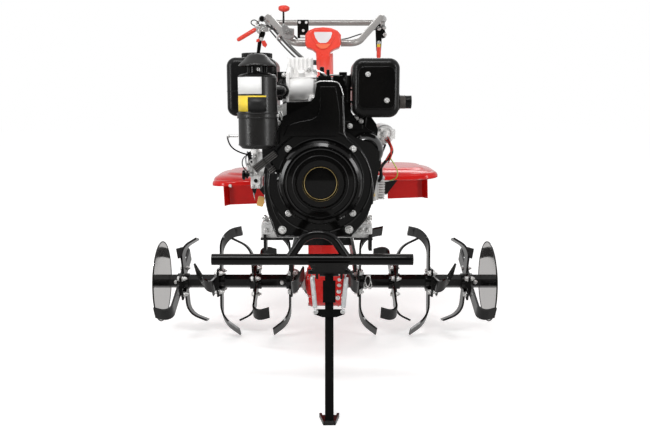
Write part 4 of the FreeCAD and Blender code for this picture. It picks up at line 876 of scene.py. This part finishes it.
def build_head_detail():
    """Cast barrel, fins, bosses and bolts of the cylinder head and its cover."""
    cast = bmesh.new()
    turned(cast, [
        (0, 0), (24, 0), (29, 3), (30, 22), (30, 58), (27, 66), (17, 71), (0, 73)],
        spot(-96, -214, 757), X, 40)
    for z in (786, 779):
        brick(cast, (-98, -224, z), (-24, -160, z + 3))
    turned(cast, [(0, 0), (13, 0), (12, 18), (10, 20), (0, 20)], spot(-31, -226, 730), -Y, 28)
    turned(cast, [(0, 0), (10, 0), (9, 14), (0, 15)], spot(-62, -214, 792), Vector((0, -0.6, 0.8)), 24)
    turned(cast, [(0, 0), (9, 0), (8, 24), (0, 25)], spot(-93, -220, 786), Z, 24)
    brick(cast, (-99, -207, 799), (-32.5, -103, 839.5))
    for number in range(6):
        brick(cast, (-96 + 11 * number, -210, 802), (-91.5 + 11 * number, -203, 836))
    brick(cast, (-103, -210, 796), (-28, -96, 802))
    brick(cast, (-97, -226, 702), (-34, -214, 726))
    piece("head_castings", cast, HEAD_CAST, bevel=1.6, segments=3)
    bolts = bmesh.new()
    bolt_row(bolts, -210, ((-88, 809), (-42, 809)), 8, 5, 5.5)
    for x, y in ((-91, -190), (-28, -190), (-91, -110), (-28, -110)):
        hex_bolt(bolts, spot(x, y, 798), Z, 11, 9, 8)
    bolt_row(bolts, -226, ((-90, 716), (-60, 708)), 9, 5, 6.5)
    bolts_piece("head_bolts", bolts)
    group("head_fittings", BLACK_MATT, [
        (brick, (-18, -215, 778), (16, -165, 792)),
        (turned, [(0, 0), (6, 0), (6, 24), (4, 26), (0, 26)], spot(-8, -190, 790), Z, 16),
        (turned, [(0, 0), (4.5, 0), (4.5, 18), (0, 19)], spot(8, -196, 790), Z, 16),
        (brick, (38, -176, 782), (59, -150, 803))], bevel=1.2)
    bent_rod("return_pipe", [
        (-22, -206, 806), (-6, -214, 800), (4, -212, 790), (14, -190, 783), (26, -170, 782)], 2.6, ZINC)
    bent_rod("release_lever", [(8, -178, 794), (24, -172, 796), (44, -164, 794)], 2.6, ZINC)


def build_block_detail():
    """Side covers, ribs and bolts of the crankcase, and the fins of the cylinder."""
    cast, bolts = bmesh.new(), bmesh.new()
    for side, wall in ((1, 96), (-1, -112)):
        middle = spot(wall, -122, 492)
        out = X * side
        outline_plate(cast, rounded_corners(156, 150, 26, 6), 7, middle + out * 7 * MM, Y * side, Z)
        outline_plate(cast, rounded_corners(104, 96, 30, 6), 6, middle + out * 13 * MM, Y * side, Z)
        turned(cast, [(0, 12), (26, 12), (25, 18), (12, 20), (0, 20)], middle, out, 36)
        for along in (-68, 0, 68):
            for up in (-64, 64):
                hex_bolt(bolts, middle + out * 7 * MM + (Y * along + Z * up) * MM, out, 10, 6, 7)
        for along in (-70, 70):
            hex_bolt(bolts, middle + out * 7 * MM + Y * along * MM, out, 10, 6, 7)
        for height in range(584, 628, 11):
            low_x, high_x = sorted((wall, wall + 6 * side))
            brick(cast, (low_x, -222, height), (high_x, -30, height + 4))
    for height in range(666, 722, 9):
        brick(cast, (-100, -222, height), (56, -28, height + 4))
        brick(cast, (-92, -30, height), (48, -16, height + 4))
    brick(cast, (-106, -222, 640), (70, -22, 650))
    piece("block_castings", cast, CAST, bevel=1.2)
    bolts_piece("block_bolts", bolts)


def build_intake_detail():
    """Ringed bell and bolted flange of the intake, with the bracket below it."""
    dark = bmesh.new()
    turned(dark, [
        (0, -34), (14, -34), (17, -28), (17, -22), (24, -18), (27, -12), (27, -7), (24, -5), (24, -3),
        (28, -1), (28, 4), (0, 4)], spot(-104, -224, 757), X, 44)
    for number in range(4):
        hoop(dark, 15.2, 2.4, spot(-112, -240 - 12 * number, 752), Y, 36)
    turned(dark, [(0, 0), (19, 0), (19, 8), (16, 10), (0, 10)], spot(-112, -238, 752), -Y, 36)
    piece("intake_sleeve", dark, BLACK_MATT, slot="black_plastic", bevel=1.2, segments=3)
    group("intake_flange", HEAD_CAST, [
        (front_plate, [(-101, 722), (-93, 722), (-92, 800), (-101, 800)], 40, -246)], bevel=1.5, segments=3)
    group("intake_bolts", ZINC, [
        (bolt_row, -240, ((-106, 793), (-106, 727)), 9, 6, 6),
        (front_plate, [(-127, 712), (-97, 722), (-97, 690), (-106, 686), (-116, 700)], 4, -304),
        (hex_bolt, spot(-118, -306, 672), -Y, 10, 6, 7),
        (pin, 4, 26, spot(-112, -306, 700), Vector((0.3, 0, -1)), 12)], bevel=0.5)


def build_muffler_detail():
    """Raised face plate of the muffler with its two washered bolts, pipe and brackets."""
    group("muffler_face", BLACK_GLOSS, [
        (outline_plate, rounded_corners(92, 104, 17, 7), 5, spot(127, SHROUD_Y - 2.2, 758.5), X, Z)
    ], slot="black_matte", bevel=2.4, segments=4)
    bolt_group("muffler_bolts", [
        (bolt_row, SHROUD_Y - 2.2, ((105, 791), (152, 728)), 9, 4, 6.5),
        (bolt_row, -282, ((80, 683), (92, 676), (72, 664)), 9, 6, 6.5)])
    bent_rod("breather_pipe", [
        (58, -292, 790), (57, -292, 752), (57, -292, 716), (60, -290, 690)], 8.0, BLACK_MATT)
    rings = bmesh.new()
    for z in (752, 722):
        turned(rings, [(7, 0), (10.5, 0), (10.5, 5), (7, 5)], spot(57, -292, z), Z, 24)
    turned(rings, [(14, 0), (21, 0), (22, 5), (14, 5)], spot(66, -186, 776), X, 32)
    piece("pipe_rings", rings, BLACK_MATT, slot="black_matte", bevel=0.6)
    group("stub_sleeve", STUB_BROWN, [
        (turned, [(16.4, 0), (16.9, 0), (16.9, 28), (16.5, 28.6), (15.2, 28.8)],
         spot(175.5, -280, 724), X, 40)], bevel=0)
    bent_rod("muffler_stay", [(106, -270, 688), (104, -270, 668), (101, -268, 652)], 2.4, BLACK_PAINT)


def build_starter_detail():
    """Starter end face, its back plate, the loom, wires and the finned unit's fittings."""
    group("starter_face", HEAD_CAST, [
        (turned, [(0, 0), (23, 0), (23.5, 2), (22, 4), (17, 4), (16, 2), (9, 2), (8, 6), (5, 8), (0, 8)],
         spot(158, -229, 640), -Y, 40),
        (brick, (176, -226, 628), (186, -200, 652))], bevel=0.6)
    group("starter_bolts", ZINC, [
        (bolt_row, -232, ((146, 650), (170, 630), (149, 627)), 7, 4),
        (hex_bolt, spot(128, -290, 476), -Y, 9, 6, 6)], bevel=0.2, segments=1)
    group("starter_plate", BLACK_GLOSS, [
        (front_plate, [(40, 690), (118, 690), (134, 668), (140, 652), (132, 606), (40, 606)], 5, -236)
    ], bevel=1.2)
    bent_rod("loom_main", [
        (166, -228, 624), (172, -250, 612), (177, -252, 596), (168, -250, 578), (154, -250, 564),
        (146, -248, 550), (152, -240, 522), (140, -222, 512)], 4.0, RUBBER)
    bent_rod("loom_second", [
        (160, -226, 612), (150, -246, 590), (136, -250, 572), (138, -246, 552), (150, -240, 540),
        (146, -226, 524)], 2.8, RUBBER)
    bent_rod("wire_red_1", [
        (160, -232, 626), (166, -258, 618), (178, -262, 605), (168, -262, 590), (160, -254, 574)],
        1.9, WIRE_RED)
    bent_rod("wire_red_2", [
        (166, -232, 632), (173, -262, 616), (170, -264, 600), (176, -260, 586), (166, -250, 566)],
        1.6, WIRE_RED)
    bent_rod("wire_green", [
        (168, -250, 584), (174, -260, 574), (186, -260, 556), (192, -252, 540), (190, -236, 522),
        (176, -218, 516)], 1.5, WIRE_GREEN)
    group("brass_plug", BRASS, [
        (turned, [(0, 0), (8, 0), (8, 5), (6, 7), (4, 12), (0, 12)], spot(127, -232, 478), -Y, 6)
    ], bevel=0.4)
    fins = bmesh.new()
    for number in range(9):
        brick(fins, (141, -232, 466 + 7 * number), (160, -176, 469.4 + 7 * number))
    brick(fins, (128, -230, 464), (143, -172, 527))
    piece("regulator_fins", fins, CAST, bevel=0.8)


def build_pump_detail():
    """Injection pump with its unions and lines, governor plate, stop knob and bracket."""
    body_item = group("pump_body", HEAD_CAST, [
        (brick, (-188, -232, 540), (-150, -166, 592)),
        (brick, (-198, -236, 496), (-170, -186, 530)),
        (brick, (-204, -226, 528), (-160, -176, 556)),
        (turned, [(0, 0), (13, 0), (13, 10), (9, 12), (9, 22), (0, 24)], spot(-188, -206, 586), Z, 28),
        (turned, [(0, 0), (12, 0), (12, 8), (8, 12), (0, 12)], spot(-194, -228, 568), -Y, 28),
        (turned, [(0, 0), (9, 0), (9, 6), (6, 8), (0, 8)], spot(-200, -226, 548), -Y, 24)
    ], bevel=2.4, segments=3)
    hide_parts("injection_pump")
    bolt_group("pump_bolts", [
        (bolt_row, -236, ((-186, 584), (-182, 538), (-196, 532), (-192, 502), (-176, 502), (-174, 520),
         (-204, 560)), 8, 5, 5.6),
        (hex_bolt, spot(-188, -206, 608), Z, 12, 10),
        (turned, [(3, 0), (7, 0), (7, 3), (3, 3)], spot(-194, -240, 568), -Y, 20)])
    group("pump_links", BLACK_PAINT, [
        (pin, 5.5, 1.2, spot(-184, -236.6, 517), -Y, 20),
        (front_plate, [(-196, 494), (-182, 496), (-186, 482), (-190, 474)], 3, -228),
        (front_plate, [(-206, 592), (-196, 596), (-192, 566), (-200, 560)], 3, -242)], bevel=0.4)
    group("pump_stays", ZINC, [
        (front_plate, [(-193, 484), (-190, 472), (-187, 462), (-190, 484)], 2, -232),
        (front_plate, [(-180, 612), (-174, 612), (-178, 588), (-184, 586)], 4, -240)], bevel=0.3)
    group("stop_knob", BLACK_PLASTIC, [
        (turned, [(0, 0), (5, 0), (5, 2), (10, 3), (10, 7), (7, 8), (7, 10), (12, 11), (13, 13), (13, 16),
         (11, 18), (0, 18)], spot(-201, -240, 533), -X, 28)], bevel=0.4)
    bent_rod("fuel_line", [
        (-160, -240, 616), (-158, -250, 640), (-146, -256, 652), (-128, -260, 664), (-112, -256, 690),
        (-104, -248, 712)], 3.0, ZINC)
    bent_rod("fuel_hose", [
        (-190, -214, 606), (-196, -224, 614), (-206, -220, 630), (-212, -190, 660), (-214, -150, 694)],
        4.0, RUBBER)
    bent_rod("governor_spring", [
        (-204, -244, 596), (-209, -246, 582), (-209, -246, 566), (-206, -244, 556)], 2.0, SPRING)
    bent_rod("throttle_wire", [
        (-250, -288, 637), (-249, -286, 624), (-240, -276, 606), (-222, -262, 594), (-204, -252, 588),
        (-192, -246, 584)], 1.9, RUBBER)
    bent_rod("stop_wire", [
        (-194, -248, 590), (-212, -252, 584), (-219, -250, 568), (-216, -246, 552), (-206, -242, 542)],
        1.5, RUBBER)
    group("throttle_end", ZINC, [
        (turned, [(0, 0), (3.2, 0), (3.2, 22), (5, 23), (5, 27), (0, 28)], spot(-222, -290, 638), -X, 16)
    ], bevel=0.3)


def build_oil_cap():
    """Grip and neck of the oil filler, leaning out beside the fan shroud."""
    lean = math.radians(14)
    right, up = around(X, -Z, lean), around(Z, X, lean)
    middle = spot(-174, -216, 458)
    item = group("filler_cap", ORANGE, [
        (outline_plate, rounded_corners(18, 27, 4), 9, middle, right, up),
        (pin, 8, 18, middle + Y * 8 * MM, Y, 28)], bevel=1.5, segments=3)
    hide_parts("oil_cap")


# ---- console and controls

CONSOLE_X, CONSOLE_Z = -7.0, 935.0


def mirrored(left):
    """Outline made of its left side and the same places on the right, in turn."""
    return left + [(-x, z) for x, z in reversed(left) if x]


SHIELD = mirrored([
    (-24, 847), (-25, 880), (-27, 900), (-40, 910), (-60, 917), (-65, 930), (-65, 962), (-54, 976),
    (-30, 986), (0, 989)])


def shield_ring(y, share):
    """The console's outline at a depth, drawn in towards its middle by a share."""
    return [spot(CONSOLE_X + x * share, y, CONSOLE_Z + (z - CONSOLE_Z) * share) for x, z in SHIELD]


def console_plate(bm, corners, thick, y):
    """Front plate with its corners counted from the console's middle."""
    front_plate(bm, [(CONSOLE_X + x, z) for x, z in corners], thick, y)


def build_console():
    """Moulded console: a domed shield on a tapered neck, with its window and lower flap."""
    depths = ((500.5, 0.86), (503, 0.93), (509, 0.985), (524, 1.0), (590, 0.99), (608, 0.95), (618, 0.86))
    item = group("console_shell", CONSOLE_RED, [
        (lofted, [shield_ring(y, share) for y, share in depths])
    ], "handlebar", bevel=1.2, segments=3, smooth=50)
    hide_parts("console")
    face = bmesh.new()
    ring = mirrored([(-14, 914), (-26, 924), (-40, 946), (-44, 968), (-38, 976), (-16, 981)])
    console_plate(face, ring, 8, 498)
    shoulder = [(-62, 920), (-34, 908), (-24, 900), (-20, 908), (-34, 922), (-60, 950)]
    for side in (-1, 1):
        console_plate(face, [(x * side, z) for x, z in shoulder], 6, 500)
    piece("console_face", face, CONSOLE_RED, "handlebar", bevel=2.4, segments=4)
    glass = mirrored([(-10, 931), (-18, 936), (-28, 950), (-33, 966), (-30, 970)])
    group("console_window", WINDOW, [(console_plate, glass, 4, 496.6)], "handlebar", bevel=1.0)
    lip = mirrored([(-8, 911), (-16, 915), (-27, 926), (-20, 929), (-10, 927)])
    group("console_flap", FLAP_RED, [(console_plate, lip, 4, 496.2)], "handlebar", bevel=1.2)


def build_gear_lever():
    """Gate bracket, dark rod and flattened red knob, and the black plate on the cross bar."""
    gate_item = group("gear_gate", GATE_GREY, [
        (front_plate, [(-157, 984), (-152, 996), (-138, 996), (-130, 986), (-112, 984), (-112, 954),
         (-128, 944), (-150, 950)], 24, 513)], "handlebar", bevel=2.0, segments=3)
    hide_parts("gear_lever")
    group("gate_bolts", GREY_STEEL, [
        (hex_bolt, spot(-136, 512, 972), -Y, 12, 5, 8),
        (brick, (-124, 509, 962), (-118, 513, 976)),
        (turned, [(0, 0), (7, 0), (7, 10), (5, 14), (0, 14)], spot(-150, 525, 988), Z, 20)
    ], "handlebar", bevel=0.4)
    group("gear_rod", BLACK_PAINT, [
        (turned, [(0, 0), (4, 0), (3.4, 60), (0, 60)], spot(-150, 525, 992), Z, 16)], "handlebar", bevel=0)
    group("gear_knob", CONSOLE_RED, [
        (turned, [(0, 0), (7, 0), (12, 2), (18, 5), (20.5, 9), (20.5, 15), (18.5, 19), (12, 22), (0, 23)],
         spot(-148, 525, 1043), Z, 32)], "handlebar", bevel=0)
    group("bar_plate", BLACK_PAINT, [
        (brick, (-118, 996, 990), (-70, 999.5, 1067)),
        (brick, (-118, 999, 1058), (-70, 1010, 1067))], "handlebar", bevel=0.8)
    trim = bmesh.new()
    for x, z in ((-109, 1056), (-80, 1056), (-93, 1022)):
        turned(trim, [(0, 0), (6, 0), (6, 1.6), (4, 4), (0, 4.4)], spot(x, 996, z), -Y, 20)
    front_plate(trim, [(-106, 993), (-80, 993), (-80, 1003), (-106, 1003)], 1.0, 995.2)
    piece("bar_plate_bolts", trim, LABEL_WHITE, "handlebar", slot="spring_steel", bevel=0.3)


def lever_clamp(bm, x):
    """Round clamp on the handlebar with its pivot block."""
    turned(bm, [(12.6, -12), (15, -12), (15.5, -10), (15.5, 10), (15, 12), (12.6, 12)],
           spot(x, 893, 1056), Y, 32)
    brick(bm, (x - 9, 882, 1022), (x + 9, 904, 1043))
    turned(bm, [(0, -13), (6, -13), (6, 13), (0, 13)], spot(x, 893, 1026), X, 20)


def build_hand_levers():
    """Clamps, the red-gripped turning lever, the dark flat arm and the right clutch lever."""
    clamps = bmesh.new()
    for side in (-1, 1):
        lever_clamp(clamps, 238 * side)
    brick(clamps, (-262, 872, 1006), (-232, 884, 1024))
    front_plate(clamps, [(-290, 1024), (-262, 1040), (-240, 1032), (-246, 1004), (-272, 996)], 8, 884)
    brick(clamps, (-292, 878, 1008), (-266, 892, 1028))
    clamps_item = piece("lever_clamps", clamps, ZINC, "handlebar", slot="grey_steel", bevel=1.0, segments=3)
    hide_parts("hand_levers")
    group("lever_arms", BLACK_PAINT, [
        (front_plate, [(-268, 1012), (-250, 1016), (-246, 998), (-262, 962), (-270, 916), (-284, 916),
         (-278, 964)], 6, 880),
        (front_plate, [(206, 1030), (234, 1030), (236, 1010), (232, 930), (212, 930), (208, 1010)], 7, 880),
        (front_plate, [(212, 1040), (246, 1036), (248, 1010), (252, 1002), (250, 984), (238, 980),
         (216, 1000)], 9, 889),
        (turned, [(0, 0), (11, 0), (12, 3), (12, 14), (9, 18), (0, 18)], spot(-257, 872, 1056), -Y, 24)
    ], "handlebar", slot="grey_steel", bevel=1.2)
    line = Vector((-79, 0, -46)).normalized()
    group("lever_grips", CONSOLE_RED, [
        (turned, [(0, 0), (7, 0), (8.6, 6), (8.8, 66), (8.2, 84), (5.5, 91), (0, 92)],
         spot(-284, 884, 1018), line, 28),
        (front_plate, [(-262, 968), (-248, 972), (-238, 954), (-246, 942), (-258, 950)], 7, 872),
        (front_plate, [(-282, 976), (-270, 978), (-270, 966), (-284, 964)], 7, 872),
        (turned, [(0, 0), (8, 0), (9, 4), (9, 38), (6, 44), (0, 45)], spot(222, 876, 944), -Z, 24)
    ], "handlebar", bevel=1.0)
    group("lever_tip", LABEL_YELLOW, [
        (pin, 7.5, 12, spot(222, 876, 956), -Z, 24)], "handlebar", slot="orange_plastic", bevel=0.8)
    bolt_group("lever_bolts", [
        (bolt_row, 872, ((-256, 1014), (-272, 1006), (-262, 976), (222, 1018), (222, 962), (244, 1022),
         (246, 994)), 10, 6, 8),
        (pin, 5, 28, spot(-284, 880, 1034), Vector((0.6, 0, 0.8)), 16)], "handlebar")
    curls = [
        (-288, 880, 1030), (-302, 876, 1034), (-304, 872, 1048), (-288, 870, 1054), (-274, 872, 1044),
        (-268, 876, 1030)]
    bent_rod("lever_spring", curls, 2.2, BLACK_PAINT, "handlebar")


def build_links():
    """Shift rods that run from the left lever down beside the console."""
    for number, (shift, drop, radius) in enumerate(((0, 0, 5.0), (12, 4, 4.0), (-10, 10, 3.2))):
        points = [
            (-212 + shift, 800, 1016 - drop), (-190 + shift, 770, 990 - drop),
            (-150 + shift, 690, 944 - drop), (-112 + shift, 620, 905 - drop),
            (-84 + shift, 568, 880 - drop), (-58 + shift / 2, 546, 871 - drop), (-22, 534, 867 - drop)]
        bent_rod("shift_rod_%d" % number, points, radius, ARM_GREY, "handlebar")
    group("cable_tie", LABEL_WHITE, [
        (turned, [(9, -3), (17, -3), (17, 3), (9, 3)], spot(-176, 745, 972), Vector((0.5, -0.6, -0.5)), 24)
    ], "handlebar", slot="spring_steel", bevel=0.6)


BUILDERS = (
    build_rotor_hardware, build_pins, build_springs, build_stand_detail, build_case_detail,
    build_base_detail, build_fender_domes, build_fender_bolts, build_recoil_detail, build_shroud_detail,
    build_handle_detail, build_filter_detail, build_tank_detail, build_head_detail, build_block_detail,
    build_intake_detail, build_muffler_detail, build_starter_detail, build_pump_detail, build_oil_cap,
    build_console, build_gear_lever, build_hand_levers, build_links,
)
for build in BUILDERS:
    build()


# ---- cables

def cable_route(side, wall_x, wall_z):
    """The cable's points from its lever's post down to the console's wall."""
    points = [
        (238, 880, 1030), (238, 852, 1029), (229, 815, 1022), (207, 765, 1008), (178, 712, 994),
        (145, 662, 980), (110, 618, 966), (wall_x + 26, 590, wall_z + 4), (wall_x, 586, wall_z)]
    return [spot(x * side, y, z) for x, y, z in points]


for side_name, side, wall_x, wall_z, radius in (("left", -1, 70, 930, 3.5), ("right", 1, 56, 950, 2.2)):
    cable = nurbs_curve("cable_" + side_name, cable_route(side, wall_x, wall_z), radius, RUBBER)
    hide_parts("cables")
    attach(cable, "handlebar")
